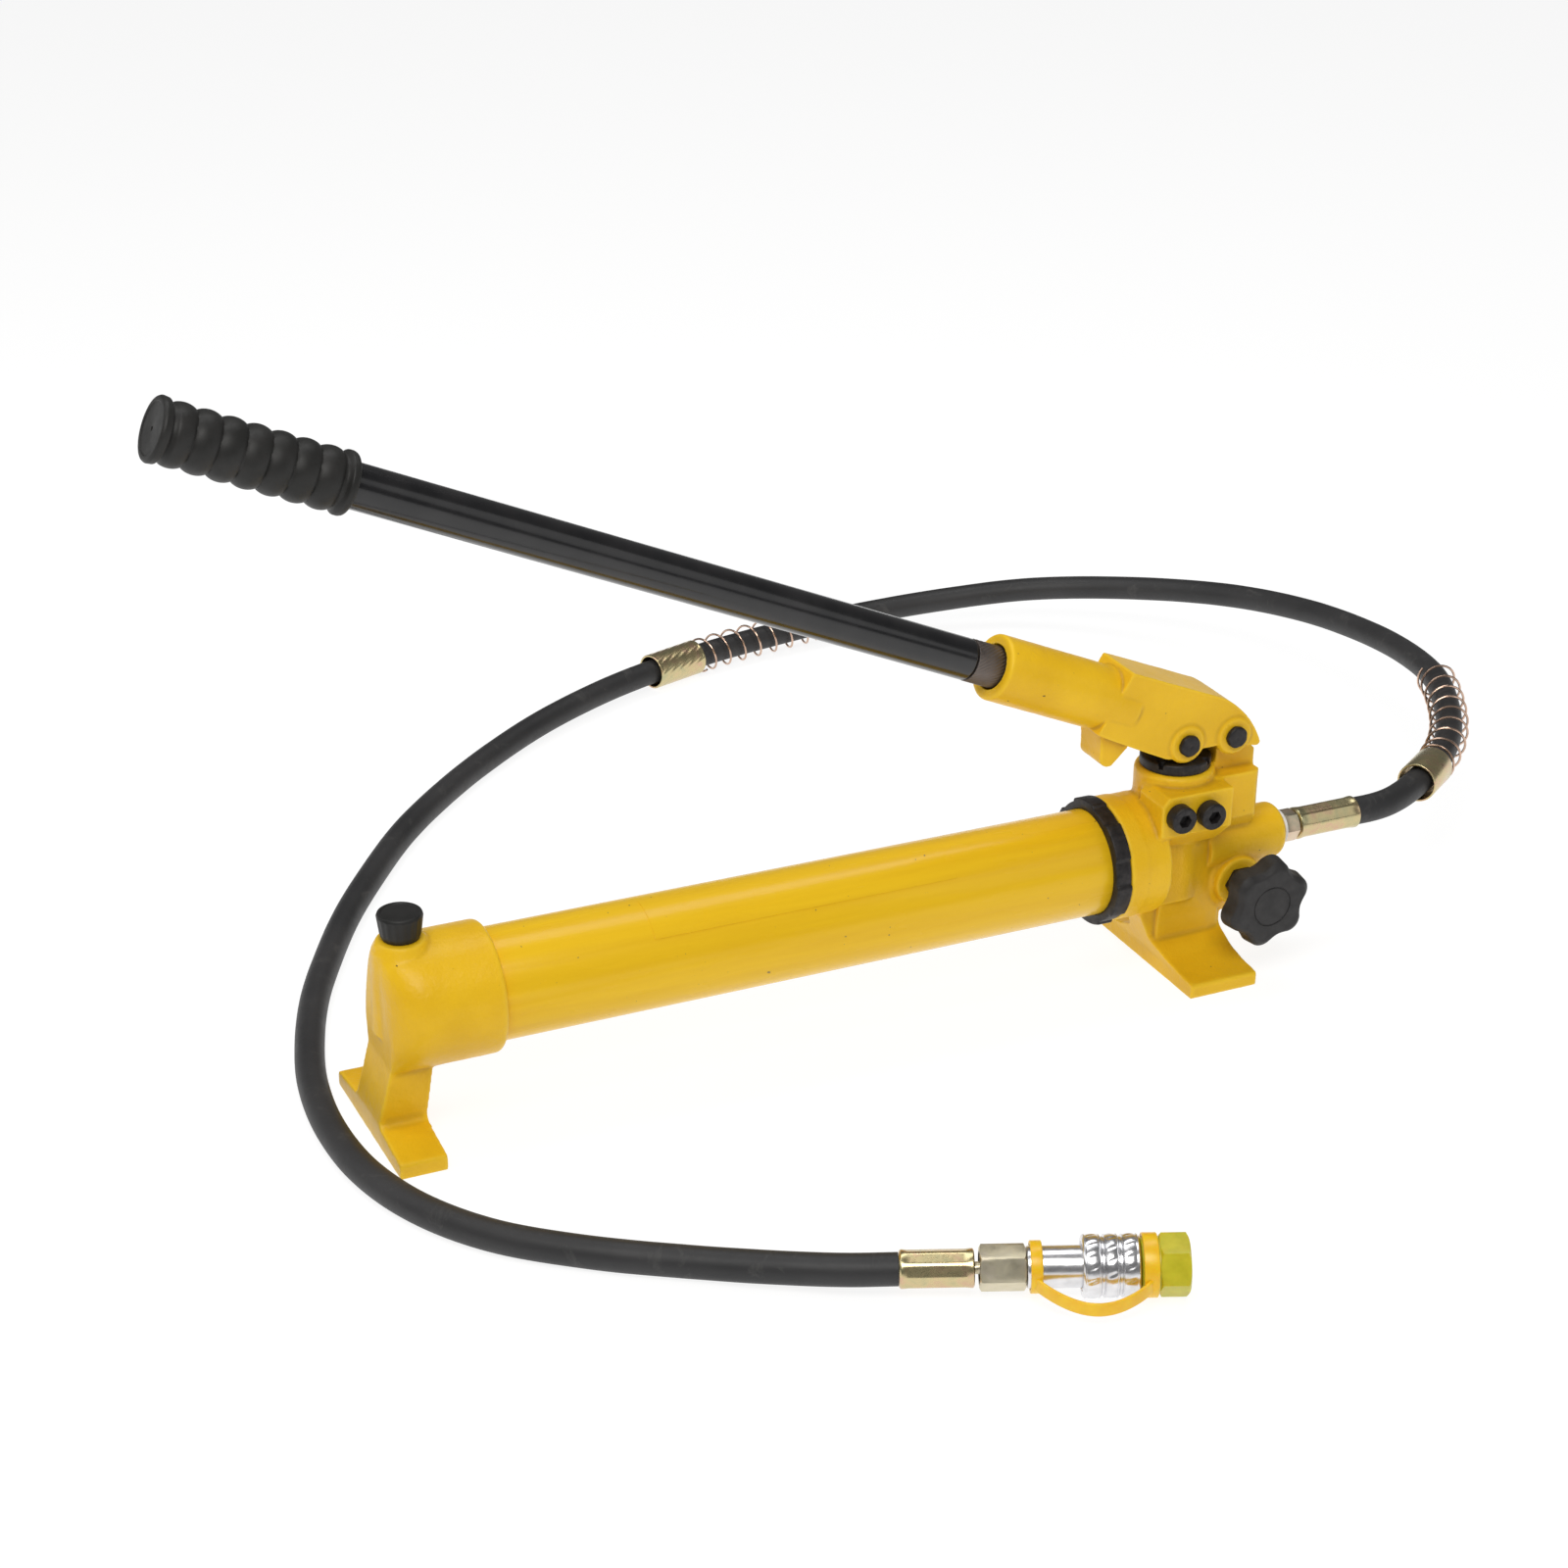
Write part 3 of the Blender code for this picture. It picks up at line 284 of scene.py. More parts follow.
def cast_paint():
    look = Look("cast_paint", (0.84, 0.50, 0.012), 0.42, Coat_Weight=0.08, Coat_Roughness=0.2,
                Specular_IOR_Level=0.22)
    tone = look.ramp(look.noise(38, 3), (0.3, (0.80, 0.465, 0.010)), (0.7, (0.90, 0.545, 0.014)))
    # painted shade: the paint darkens to brown in concave hollows and creases, where shade falls
    painted_hollow_shade = look.ramp(look.attribute("hollow"), (0.15, 0.0), (0.9, 1.0))
    tone = look.mix(look.multiply(painted_hollow_shade, 0.6), tone, (0.40, 0.20, 0.015))
    # painted highlight: the paint turns lighter yellow on convex ridges and edges, where light catches them
    painted_edge_highlight = look.ramp(look.attribute("ridge"), (0.25, 0.0), (1.0, 1.0))
    tone = look.mix(look.multiply(painted_edge_highlight, 0.35), tone, (0.98, 0.66, 0.04))
    pits = look.ramp(look.noise(2.6, 1.5, 0.4), (0.765, 0.0), (0.80, 1.0))
    sparse = look.ramp(look.noise(21, 1), (0.52, 0.0), (0.60, 1.0))
    pits = look.multiply(pits, sparse)
    tone = look.mix(pits, tone, (0.10, 0.06, 0.02))
    look.colour(tone)
    look.roughness(look.noise(9, 3), 0.28, 0.46)
    look.bump(look.noise(1.5, 3, 0.6), 0.26)
    look.bump(look.noise(5.5, 2), 0.35)
    return look.bump(pits, -0.3)


def tube_paint():
    look = Look("tube_paint", (0.86, 0.53, 0.012), 0.3, Coat_Weight=0.14, Coat_Roughness=0.1,
                Specular_IOR_Level=0.22)
    drawn = look.noise(7, 3, stretch=(0.06, 1, 1))
    tone = look.ramp(drawn, (0.3, (0.83, 0.495, 0.011)), (0.7, (0.90, 0.560, 0.014)))
    specks = look.ramp(look.noise(2.4, 1.0, 0.3), (0.785, 0.0), (0.81, 1.0))
    look.colour(look.mix(specks, tone, (0.30, 0.19, 0.04)))
    look.roughness(look.noise(14, 3, stretch=(0.2, 1, 1)), 0.20, 0.34)
    look.bump(look.noise(2.2, 2), 0.05)
    return look.bump(drawn, 0.08)


def mottled(name, base, metallic, tone, rough, grain, **sockets):
    """Two shades, a drifting roughness and fine bumps, each from a noise of its own.

    `base` is the plain colour and roughness. `tone` has a noise and two colour stops, `rough` a noise
    and two values, and `grain` a noise and a depth in millimetres.
    """
    look = Look(name, *base, metallic, **sockets)
    look.colour(look.ramp(look.noise(*tone[0]), *tone[1:]))
    look.roughness(look.noise(*rough[0]), *rough[1:])
    return look.bump(look.noise(*grain[0]), grain[1])


def hose_rubber():
    look = Look("hose_rubber", (0.026, 0.026, 0.027), 0.5)
    scuff = look.noise(16, 5, 0.72, distortion=0.6)
    rubbed = look.ramp(scuff, (0.56, 0.0), (0.74, 1.0))
    tone = look.ramp(look.noise(60, 2), (0.3, (0.018, 0.018, 0.019)), (0.7, (0.031, 0.030, 0.031)))
    tone = look.mix(look.multiply(rubbed, 0.55), tone, (0.085, 0.082, 0.078))
    look.colour(tone)
    look.roughness(scuff, 0.38, 0.70)
    look.bump(look.noise(0.8, 2), 0.05)
    return look.bump(look.noise(8, 3), 0.12)


def zinc(name, low, middle, high, roughness=0.3):
    """Passivated zinc: the tint drifts between three metallic colours."""
    look = Look(name, middle, roughness, 1.0)
    drift = look.noise(15, 4, 0.6, distortion=1.2)
    look.colour(look.ramp(drift, (0.30, low), (0.5, middle), (0.70, high)))
    look.roughness(look.noise(5, 4, 0.6), roughness * 0.7, roughness * 1.45)
    look.bump(look.noise(3, 3), 0.04)
    return look.bump(look.noise(0.5, 2), 0.015)


def brushed(name, colour, roughness, size=0.5, depth=0.02):
    dark = tuple(c * 0.72 for c in colour)
    return mottled(name, (colour, roughness), 1.0, ((8, 3), (0.3, dark), (0.7, colour)),
                   ((4, 4), roughness * 0.7, roughness * 1.4), ((size, 2), depth))


def soft_plastic(name, dark, light, roughness, **sockets):
    return mottled(name, (light, roughness), 0.0, ((8, 3), (0.3, dark), (0.7, light)),
                   ((5, 3), roughness * 0.8, roughness * 1.25), ((1.6, 2), 0.03), **sockets)


def make_looks():
    looks = {
        "cast": cast_paint(),
        "tube": tube_paint(),
        "oxide": mottled("black_oxide", ((0.022, 0.020, 0.021), 0.5), 0.35,
                         ((4, 4, 0.65), (0.35, (0.009, 0.008, 0.009)), (0.72, (0.036, 0.031, 0.030))),
                         ((3, 3), 0.38, 0.62), ((0.9, 3, 0.6), 0.06)),
        "black": mottled("moulded_black", ((0.012, 0.012, 0.011), 0.48), 0.0,
                         ((11, 4), (0.3, (0.009, 0.009, 0.008)), (0.75, (0.020, 0.019, 0.018))),
                         ((6, 3), 0.40, 0.60), ((0.6, 2), 0.035), Specular_IOR_Level=0.35),
        "knob": mottled("knob_black", ((0.03, 0.03, 0.03), 0.6), 0.0,
                        ((7, 4), (0.3, (0.012, 0.011, 0.011)), (0.75, (0.028, 0.026, 0.026))),
                        ((4, 3), 0.5, 0.72), ((0.5, 2), 0.06)),
        "handle": mottled("handle_black", ((0.008, 0.008, 0.009), 0.2), 0.0,
                          ((20, 3), (0.35, (0.005, 0.005, 0.006)), (0.8, (0.016, 0.015, 0.016))),
                          ((9, 4, 0.6), 0.12, 0.30), ((5, 2), 0.04), Coat_Weight=0.2, Coat_Roughness=0.08),
        "hose": hose_rubber(),
        "chrome": mottled("chrome", ((0.78, 0.78, 0.80), 0.22), 1.0,
                          ((6, 3), (0.3, (0.70, 0.70, 0.72)), (0.7, (0.83, 0.83, 0.85))),
                          ((3, 4, 0.6), 0.17, 0.32), ((2.5, 2), 0.012)),
        "yellow_zinc": zinc("yellow_zinc", (0.66, 0.42, 0.30), (0.64, 0.53, 0.29), (0.50, 0.47, 0.27), 0.26),
        "beige_zinc": zinc("beige_zinc", (0.60, 0.55, 0.42), (0.68, 0.62, 0.45), (0.74, 0.66, 0.53), 0.34),
        "pink_zinc": zinc("pink_zinc", (0.70, 0.50, 0.40), (0.72, 0.58, 0.42), (0.55, 0.50, 0.36), 0.3),
        "wire": brushed("wire", (0.72, 0.50, 0.38), 0.24),
        "steel": brushed("steel", (0.42, 0.41, 0.40), 0.38, 0.4, 0.03),
        "shank": brushed("shank", (0.20, 0.172, 0.158), 0.5, 0.6, 0.05),
        "rubber": soft_plastic("seal_rubber", (0.012, 0.012, 0.012), (0.026, 0.025, 0.025), 0.6),
        "washer": soft_plastic("washer", (0.70, 0.69, 0.66), (0.82, 0.81, 0.79), 0.45),
        "cap": soft_plastic("cap_plastic", (0.62, 0.56, 0.012), (0.78, 0.70, 0.03), 0.34,
                            Subsurface_Weight=0.35, Subsurface_Scale=0.004, Transmission_Weight=0.22),
        "strap": soft_plastic("strap_plastic", (0.88, 0.50, 0.008), (0.96, 0.60, 0.012), 0.32,
                              Subsurface_Weight=0.2, Subsurface_Scale=0.002),
    }
    return {key: look.material for key, look in looks.items()}


# ---- meshes

AXES = {
    "z": Matrix.Identity(3),
    "x": Matrix(((0, 0, 1), (1, 0, 0), (0, 1, 0))),
    "-y": Matrix(((1, 0, 0), (0, 0, -1), (0, 1, 0))),
}


def placed(points, axis, origin):
    """Turn local +Z to the named or given axis and move to the origin."""
    turn = AXES[axis] if isinstance(axis, str) else Vector(axis).to_track_quat("Z", "Y").to_matrix()
    return np.asarray(points, float) @ np.array(turn).T + np.array(tuple(origin), float)


def polar(radius, angle):
    return (radius * math.cos(angle), radius * math.sin(angle))


def mesh_object(name, points, faces):
    mesh = bpy.data.meshes.new(name)
    mesh.from_pydata((np.asarray(points, float) * MM).tolist(), [], faces)
    obj = bpy.data.objects.new(name, mesh)
    bpy.context.scene.collection.objects.link(obj)
    return obj


def tidy(obj, merge=0.004):
    """Weld doubled points and turn all faces outwards."""
    bm = bmesh.new()
    bm.from_mesh(obj.data)
    bmesh.ops.remove_doubles(bm, verts=bm.verts, dist=merge * MM)
    bmesh.ops.dissolve_degenerate(bm, edges=bm.edges, dist=merge * MM)
    bmesh.ops.recalc_face_normals(bm, faces=bm.faces)
    bm.to_mesh(obj.data)
    bm.free()
    return obj


def rounded(points, radius=0.5, steps=3, closed=False):
    """Arcs in place of an outline's corners. A point's third number is its own radius."""
    straight, folded = math.pi - 0.06, 0.02
    share = 0.48  # of each side, the most that one arc takes up
    out = []
    count = len(points)
    for i, point in enumerate(points):
        here = Vector(point[:2])
        size = point[2] if len(point) > 2 else radius
        if size == 0 or (not closed and i in (0, count - 1)):
            out.append(tuple(here))
            continue
        back = Vector(points[i - 1][:2]) - here
        ahead = Vector(points[(i + 1) % count][:2]) - here
        angle = back.angle(ahead, 0.0)
        if angle > straight or angle < folded:
            out.append(tuple(here))
            continue
        reach = min(size / math.tan(angle / 2), share * back.length, share * ahead.length)
        middle = (back.normalized() + ahead.normalized()).normalized()
        centre = here + middle * (reach / math.cos(angle / 2))
        start = here + back.normalized() * reach - centre
        end = here + ahead.normalized() * reach - centre
        sweep = start.angle(end)
        for k in range(steps + 1):
            t = k / steps
            spoke = start * math.sin((1 - t) * sweep) + end * math.sin(t * sweep)
            out.append(tuple(centre + spoke / math.sin(sweep)))
    return out


def ring_faces(count, sides, closed=False):
    """Quads between neighbouring rings of points, and back to the first ring when closed."""
    faces = []
    for k in range(count if closed else count - 1):
        low, high = k * sides, (k + 1) % count * sides
        for i in range(sides):
            j = (i + 1) % sides
            faces.append((low + i, low + j, high + j, high + i))
    return faces


def skinned(name, rings):
    """Close a row of equal rings of points into one solid."""
    sides = len(rings[0])
    last = (len(rings) - 1) * sides
    faces = ring_faces(len(rings), sides)
    faces += [tuple(range(sides)), tuple(range(last, last + sides))]
    return tidy(mesh_object(name, [tuple(point) for ring in rings for point in ring], faces))


def lathe(name, profile, axis="z", origin=(0, 0, 0), sides=96, shape=None, closed=None, steps=3):
    """Turn an outline of (radius, height) points. `shape(r, h, angles)` may reshape each ring."""
    if closed is None:
        closed = profile[0][0] > 0 and profile[-1][0] > 0
    outline = rounded(profile, steps=steps, closed=closed)
    angles = (np.arange(sides) + 0.5) * TAU / sides
    rings = []
    for r, h in outline:
        radii = np.full(sides, float(r))
        if shape is not None and r > 0:
            radii = shape(radii, h, angles)
        rings.append(np.column_stack((radii * np.cos(angles), radii * np.sin(angles), np.full(sides, h))))
    faces = ring_faces(len(rings), sides, closed)
    return tidy(mesh_object(name, placed(np.vstack(rings), axis, origin), faces))


def grooved(low, high, over, depth, count, twist=0.0):
    """Ring reshaping that cuts `count` grooves between two heights, in rings over a radius."""
    def shape(radii, h, angles):
        if low < h < high and radii[0] > over:
            return radii - depth * (1 + np.cos(count * angles + h * twist))
        return radii
    return shape


def prism(name, outline, low, high, axis="z", origin=(0, 0, 0), bevel=0.0):
    """Extrude an outline. Points with their own radius round its corners, `bevel` the rims."""
    if any(len(p) > 2 for p in outline):
        outline = rounded(outline, 0, 4, True)
    count = len(outline)
    points = [(x, y, low) for x, y in outline] + [(x, y, high) for x, y in outline]
    faces = [tuple(range(count)), tuple(range(count, 2 * count))]
    faces += [(i, (i + 1) % count, count + (i + 1) % count, count + i) for i in range(count)]
    obj = tidy(mesh_object(name, placed(points, axis, origin), faces))
    if bevel:
        bevelled(obj, bevel)
    return obj


def bevelled(obj, width, segments=3, angle=40):
    modifier = obj.modifiers.new("bevel", "BEVEL")
    modifier.width = width * MM
    modifier.segments = segments
    modifier.angle_limit = math.radians(angle)
    return applied(obj)


def applied(obj):
    graph = bpy.context.evaluated_depsgraph_get()
    mesh = bpy.data.meshes.new_from_object(obj.evaluated_get(graph))
    obj.modifiers.clear()
    obj.data = mesh
    return obj


def combine(target, operation, *tools):
    for tool in tools:
        modifier = target.modifiers.new("shape", "BOOLEAN")
        modifier.operation = operation
        modifier.solver = "EXACT"
        modifier.object = tool
        tidy(applied(target))
        bpy.data.objects.remove(tool, do_unlink=True)
    return target


def union(target, *tools):
    return combine(target, "UNION", *tools)


def subtract(target, *tools):
    return combine(target, "DIFFERENCE", *tools)


def rod(name, radius, low, high, axis="z", origin=(0, 0, 0), sides=64):
    return lathe(name, [(0, low, 0), (radius, low, 0), (radius, high, 0), (0, high, 0)], axis, origin, sides)


def box(name, low, high):
    (x0, y0, z0), (x1, y1, z1) = low, high
    return prism(name, [(x0, y0), (x1, y0), (x1, y1), (x0, y1)], z0, z1)


def arc(start, end, bulge, steps):
    """Points from start to end on an arc that bulges to the left of the chord."""
    p, q = Vector(start), Vector(end)
    chord = q - p
    normal = Vector((-chord.y, chord.x)).normalized()
    half = chord.length / 2
    radius = (half * half + bulge * bulge) / (2 * bulge)
    centre = (p + q) / 2 + normal * (bulge - radius)
    first = math.atan2(p.y - centre.y, p.x - centre.x)
    sweep = 2 * math.asin(min(1.0, half / abs(radius)))
    if abs(bulge) > half:
        sweep = TAU - sweep
    points = []
    for i in range(steps + 1):
        angle = first - math.copysign(sweep, bulge) * i / steps
        points.append((centre.x + abs(radius) * math.cos(angle), centre.y + abs(radius) * math.sin(angle)))
    return points


def hexagon(across_flats, turn=0.0):
    return [polar(across_flats / math.sqrt(3), TAU * i / 6 + turn) for i in range(6)]


def sector(inner, outer, turns):
    """Outline of part of a flat ring between two radii."""
    return [polar(outer, a) for a in turns] + [polar(inner, a) for a in reversed(turns)]


def smoothed(obj, angle=32):
    obj.data.shade_smooth()
    obj.data.set_sharp_from_angle(angle=math.radians(angle))
    return obj


def worn(obj, look, body, node=None, angle=32):
    """Give the piece its material and body, and hide the imported parts that it stands in for."""
    obj.data.materials.clear()
    obj.data.materials.append(LOOKS[look])
    if angle:
        smoothed(obj, angle)
    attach(obj, body)
    if node:
        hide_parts(*([node] if isinstance(node, str) else node))
    return obj


# ---- cast surfaces

def mesh_arrays(obj):
    mesh = obj.data
    points = np.zeros(len(mesh.vertices) * 3)
    mesh.vertices.foreach_get("co", points)
    edges = np.zeros(len(mesh.edges) * 2, int)
    mesh.edges.foreach_get("vertices", edges)
    return points.reshape(-1, 3), edges.reshape(-1, 2)


def mesh_normals(obj):
    normals = np.zeros(len(obj.data.vertices) * 3, np.float32)
    obj.data.vertex_normals.foreach_get("vector", normals)
    return normals.reshape(-1, 3).astype(float)


def set_points(obj, points):
    obj.data.vertices.foreach_set("co", points.astype(np.float32).ravel())
    obj.data.update()


def pull(points, edges, degree):
    """How far each point is from the middle of its neighbours."""
    total = np.empty_like(points)
    for k in range(3):
        total[:, k] = np.bincount(edges[:, 0], points[edges[:, 1], k], len(points))
        total[:, k] += np.bincount(edges[:, 1], points[edges[:, 0], k], len(points))
    return total / degree[:, None] - points


def cast(obj, voxel=0.8, fillet=36, soften=4, lumps=0.10):
    """Remesh a sharp solid as a casting: filleted hollows, soft edges and a lumpy skin."""
    fill, relax, passes, full_bend = 0.55, 0.5, 6, 0.05
    lump_size, grain_size, grain_share = 9, 1.9, 0.35
    modifier = obj.modifiers.new("skin", "REMESH")
    modifier.mode = "VOXEL"
    modifier.voxel_size = voxel * MM
    applied(obj)
    points, edges = mesh_arrays(obj)
    degree = np.bincount(edges.ravel(), minlength=len(points)).astype(float)
    for step in range(fillet):
        if step % passes == 0:
            set_points(obj, points)
            normals = mesh_normals(obj)
        rise = (pull(points, edges, degree) * normals).sum(1)
        points += normals * (np.maximum(rise, 0) * fill)[:, None]
    for _ in range(soften):
        points += pull(points, edges, degree) * relax
    set_points(obj, points)
    normals = mesh_normals(obj)
    bend = (pull(points, edges, degree) * normals).sum(1) / (voxel * MM)
    for _ in range(passes):
        bend = bend + pull(np.column_stack((bend,) * 3), edges, degree)[:, 0] * relax
    hollow = np.clip(bend / full_bend, 0, 1)
    ridge = np.clip(-bend / full_bend, 0, 1)
    skin = np.array([noise.fractal(Vector(p) / (lump_size * MM), 0.8, 2.1, 3) for p in points])
    grain = np.array([noise.noise(Vector(p) / (grain_size * MM)) for p in points])
    set_points(obj, points + normals * ((skin * lumps + grain * lumps * grain_share) * MM)[:, None])
    # curvature masks: the cast paint turns them into painted shade in the hollows and a painted highlight on
    # the ridges
    for name, values in (("hollow", hollow), ("ridge", ridge)):
        layer = obj.data.attributes.new(name, "FLOAT", "POINT")
        layer.data.foreach_set("value", values.astype(np.float32))
    return obj


def make_foot(flare, low, high, waist):
    """Foot and web: a plate, the flare's points and the web seen along X, the waist seen along Y."""
    right = [(FOOT_HALF, 0, 0), (FOOT_HALF, FOOT_EDGE, 2.2)] + flare + [(flare[-1][0], FOOT_WEB_TOP, 0)]
    outline = rounded(right + [(-p[0], *p[1:]) for p in reversed(right)], 0, 6, True)
    return combine(prism("foot", outline, low, high, "x"), "INTERSECT", prism("waist", waist, -80, 80, "-y"))


def cap_loft(name):
    """Rear of the cap: the round section narrows to a slab that leans in towards the top."""
    count, steps = 72, 18
    levels = [TANK_Z - LOFT_R * math.cos(math.pi * (i + 0.5) / count) for i in range(count)]
    rings = []
    for along in [-0.1] + [math.sin(math.pi / 2 * k / steps) for k in range(steps + 1)]:
        keep = math.sqrt(max(1 - max(along, 0.0) ** 2, 0.0))
        right = []
        for z in levels:
            wide = math.sqrt(LOFT_R ** 2 - (z - TANK_Z) ** 2)
            slab = SLAB_HALF - SLAB_LEAN * max(z - SLAB_BEND_Z, 0.0)
            right.append((slab + (wide - slab) * keep, z))
        x = CAP_CREASE + (CAP_REAR - CAP_CREASE) * along
        rings.append([(x, y, z) for y, z in right + [(-y, z) for y, z in reversed(right)]])
    return skinned(name, rings)


def make_rear_cap():
    front = CAP_FRONT
    profile = [(0, CAP_CREASE), (BARREL_R, CAP_CREASE, 0), (BARREL_R, front, 3.2), (0, front)]
    cap = lathe("rear_cap_casting", profile, "x", (0, 0, TANK_Z), 128, steps=6)
    pad = [(0, 60), (18, 60), (16.5, FILLER_PAD_TOP - 6), (13.4, FILLER_PAD_TOP, 1.2), (0, FILLER_PAD_TOP)]
    x0, x1 = REAR_FOOT
    waist = [(x0 - 1, -1), (x0 - 1, 10), (CAP_REAR, 46), (CAP_REAR, 70), (x1 + 5.2, 70), (x1 + 4.5, 40),
             (x1 + 1, 18), (x1, 9), (x1, -1)]
    foot = make_foot([(23, 12.6, 2.5), (20, 15.5, 1.5)], x0, x1 + 4.5, waist)
    union(cap, cap_loft("loft"), lathe("pad", pad, "z", (FILLER_X, 0, 0), 64, steps=5), foot)
    subtract(
        cap,
        rod("bore", TUBE_R + FIT, -474, front + 2, "x", (0, 0, TANK_Z), 128),
        rod("pocket", 22, -493, -473, "x", (0, 0, TANK_Z), 64),
        rod("filler_bore", 7.4, 90, 120, "z", (FILLER_X, 0, 0), 32),
    )
    worn(cast(cap, 0.8, 12, 4), "cast", "pump", "rear_cap", 0)


def make_head():
    front = -19.0
    profile = [(0, HEAD_REAR), (BARREL_R, HEAD_REAR, 1.6), (BARREL_R, -36.4, 0), (BARREL_R - 0.5, -35.8, 0),
               (BARREL_R - 0.5, front, 3.0), (0, front)]
    head = lathe("head_casting", profile, "x", (0, 0, TANK_Z), 128, steps=6)
    boss = [(0, 42), (CORE_R, 46, 0), (CORE_R, 84, 4), (BOSS_R, 92, 4), (BOSS_R, BOSS_TOP, 3.2),
            (0, BOSS_TOP)]
    union(head, lathe("boss", boss, "z", (0, 0, 0), 96, steps=7))
    pad = [(-26.5, 84), (22, 84), (22, 124), (-22, 124), (-26.5, 119)]
    pad_block = prism("pad", pad, 5, -PAD_Y, "-y")
    slope = [(PAD_Y - 2, 101), (PAD_Y - 2, 70), (-14, 70), (-14, 81)]
    subtract(pad_block, prism("slope", slope, -40, 40, "x"))
    body = [(-20, 125.4), (-20, 97), (-12, 87), (12, 87), (20, 97), (20, 125.4)]
    body = prism("body", body, 6, 48.5, "x")
    plan = [(4, -22, 0), (43.5, -22, 3), (50, -15.5, 3), (50, 15.5, 3), (43.5, 22, 3), (4, 22, 0)]
    combine(body, "INTERSECT", prism("plan", rounded(plan, 0, 4, True), 80, 130))
    lug = [(GLAND_R + 1, 100), (GLAND_R + 1, PIVOT[2] - 9)]
    lug += arc((PIVOT[0] - 10.8, PIVOT[2] - 4.5), (PIVOT[0] + 10.8, PIVOT[2] - 4.5), 16.2, 28)
    lug += [(PIVOT[0] + 17, 139), (49.6, 135), (49.6, 118), (46.5, 110), (46.5, 100)]
    x0, x1 = FRONT_FOOT
    flare = [(40, 10.3, 8), (26, 13.6, 10), (12.5, 20, 6), (10.5, 23, 2)]
    waist = [(x0, -1), (x0, 10), (x0 - 10.5, 36), (x0 - 10.5, 70), (x1 + 1, 70), (x1 + 1, -1)]
    foot = make_foot(flare, x0 - 12, x1, waist)
    port = [(0, 20), (PORT_R, 20, 0), (PORT_R, PORT_END - 1.2, 6.5), (PORT_R - 8, PORT_END, 0), (0, PORT_END)]
    valve = [(0, -17), (23.5, -17, 0), (23.5, 9.5, 3.5), (17.5, 14.4, 2.0), (15.6, 15.5, 0.8),
             (15.6, 20, 1.2), (0, 20)]
    skirt = [(-13, -15), (-2, -17), (6, -16.5), (16, -14), (30, -11.8), (30, 0), (-13, 0)]
    taper = [(0, 10), (-12.8, 10), (-13.2, 34), (-17.5, 62), (-19, 94), (0, 94)]
    skirt = combine(prism("skirt", skirt, 12, 93), "INTERSECT", prism("taper", taper, -20, 40, "x"))
    union(head, skirt, pad_block, box("wall", (-25, -CORE_R + 0.4, 46), (0, CORE_R - 0.4, 95)), body,
          box("web", (4, -11.6, 38), (48.1, 11.6, 96)), prism("lug", lug, -LUG_Y, LUG_Y, "-y"), foot,
          lathe("port", port, "x", (0, 0, PORT_Z), 96, steps=7),
          lathe("valve", valve, "-y", VALVE, 96, steps=5))
    cuts = [
        rod("socket", TUBE_R + FIT, HEAD_REAR - 5, -27, "x", (0, 0, TANK_Z), 128),
        rod("plunger_bore", 11.0, 62, BOSS_TOP + 5, "z", (0, 0, 0), 48),
        rod("gland_bore", 17.6, 120, BOSS_TOP + 5, "z", (0, 0, 0), 64),
        rod("port_bore", 8.0, 57, PORT_END + 5, "x", (0, 0, PORT_Z), 48),
        rod("valve_bore", 7.0, 6, 26, "-y", VALVE, 48),
        rod("pivot_bore", PIN_R + FIT, -20, 20, "-y", PIVOT, 32),
    ]
    for x, z in PLUGS.values():
        cuts.append(rod("plug_bore", 5.0, 24, 40, "-y", (x, 0, z), 32))
    subtract(head, *cuts)
    worn(cast(head, 0.72, 18, 3), "cast", "pump", "pump_head", 0)


def to_lever(u, v):
    """Point in X and Z, from a distance along the handle and one square to it."""
    cos, sin = math.cos(HANDLE_ANGLE), math.sin(HANDLE_ANGLE)
    return (MOUTH[0] - u * cos + v * sin, MOUTH[2] + u * sin + v * cos)


def make_lever():
    tip = (47.6, 143.0)
    outline = [to_lever(-76, -18.6), to_lever(-82, 22.8), (19.5, 175.8)]
    outline += arc((19.5, 175.8), tip, 3.9, 18)[1:]
    outline += [(45.6, 140.8), (18, 145.5), (3, 145.5), (-9, 141), (-18, 143), (-46, 156.8)]
    lever = prism("lever_arm", outline, -CHEEK_Y, CHEEK_Y, "-y")
    r = SOCKET_R
    socket = [(0, -100), (r, -97, 1.5), (r, -0.6, 1.6), (r - 2.2, 0, 1.2), (0, 0)]
    hook = [(-60.2, 175), (-59.2, 150)]
    hook += arc((-59.2, 150), (-51.6, 142.4), -3.2, 14)[1:]
    hook += [(-41, 152.4), (-41, 175)]
    union(lever, lathe("socket", socket, HANDLE_AXIS, MOUTH, 96, steps=5), prism("hook", hook, -12, 12, "-y"))
    for x in (PIN_X, PIVOT[0]):
        boss = [(0, -CHEEK_BOSS_Y), (10.6, -CHEEK_BOSS_Y, 0.5), (12.4, -CHEEK_Y + 0.5, 0.5),
                (12.4, CHEEK_Y - 0.5, 0.5), (10.6, CHEEK_BOSS_Y, 0.5), (0, CHEEK_BOSS_Y)]
        union(lever, lathe("ring", boss, "-y", (x, 0, PIVOT[2]), 64))
    slot = [(-27, 120), (70, 120), (70, 160), (64, 166), (-27, 166)]
    subtract(
        lever,
        rod("handle_bore", 13.4, -62, 5, HANDLE_AXIS, MOUTH, 64),
        prism("slot", slot, -SLOT_Y, SLOT_Y, "-y"),
        rod("pin_hole", PIN_R + FIT, -25, 25, "-y", (PIN_X, 0, PIVOT[2]), 32),
        rod("pivot_hole", PIN_R + FIT, -25, 25, "-y", PIVOT, 32),
    )
    worn(cast(lever, 0.62, 8, 3, 0.07), "cast", "lever", "lever_casting", 0)


# ---- reservoir and head fittings

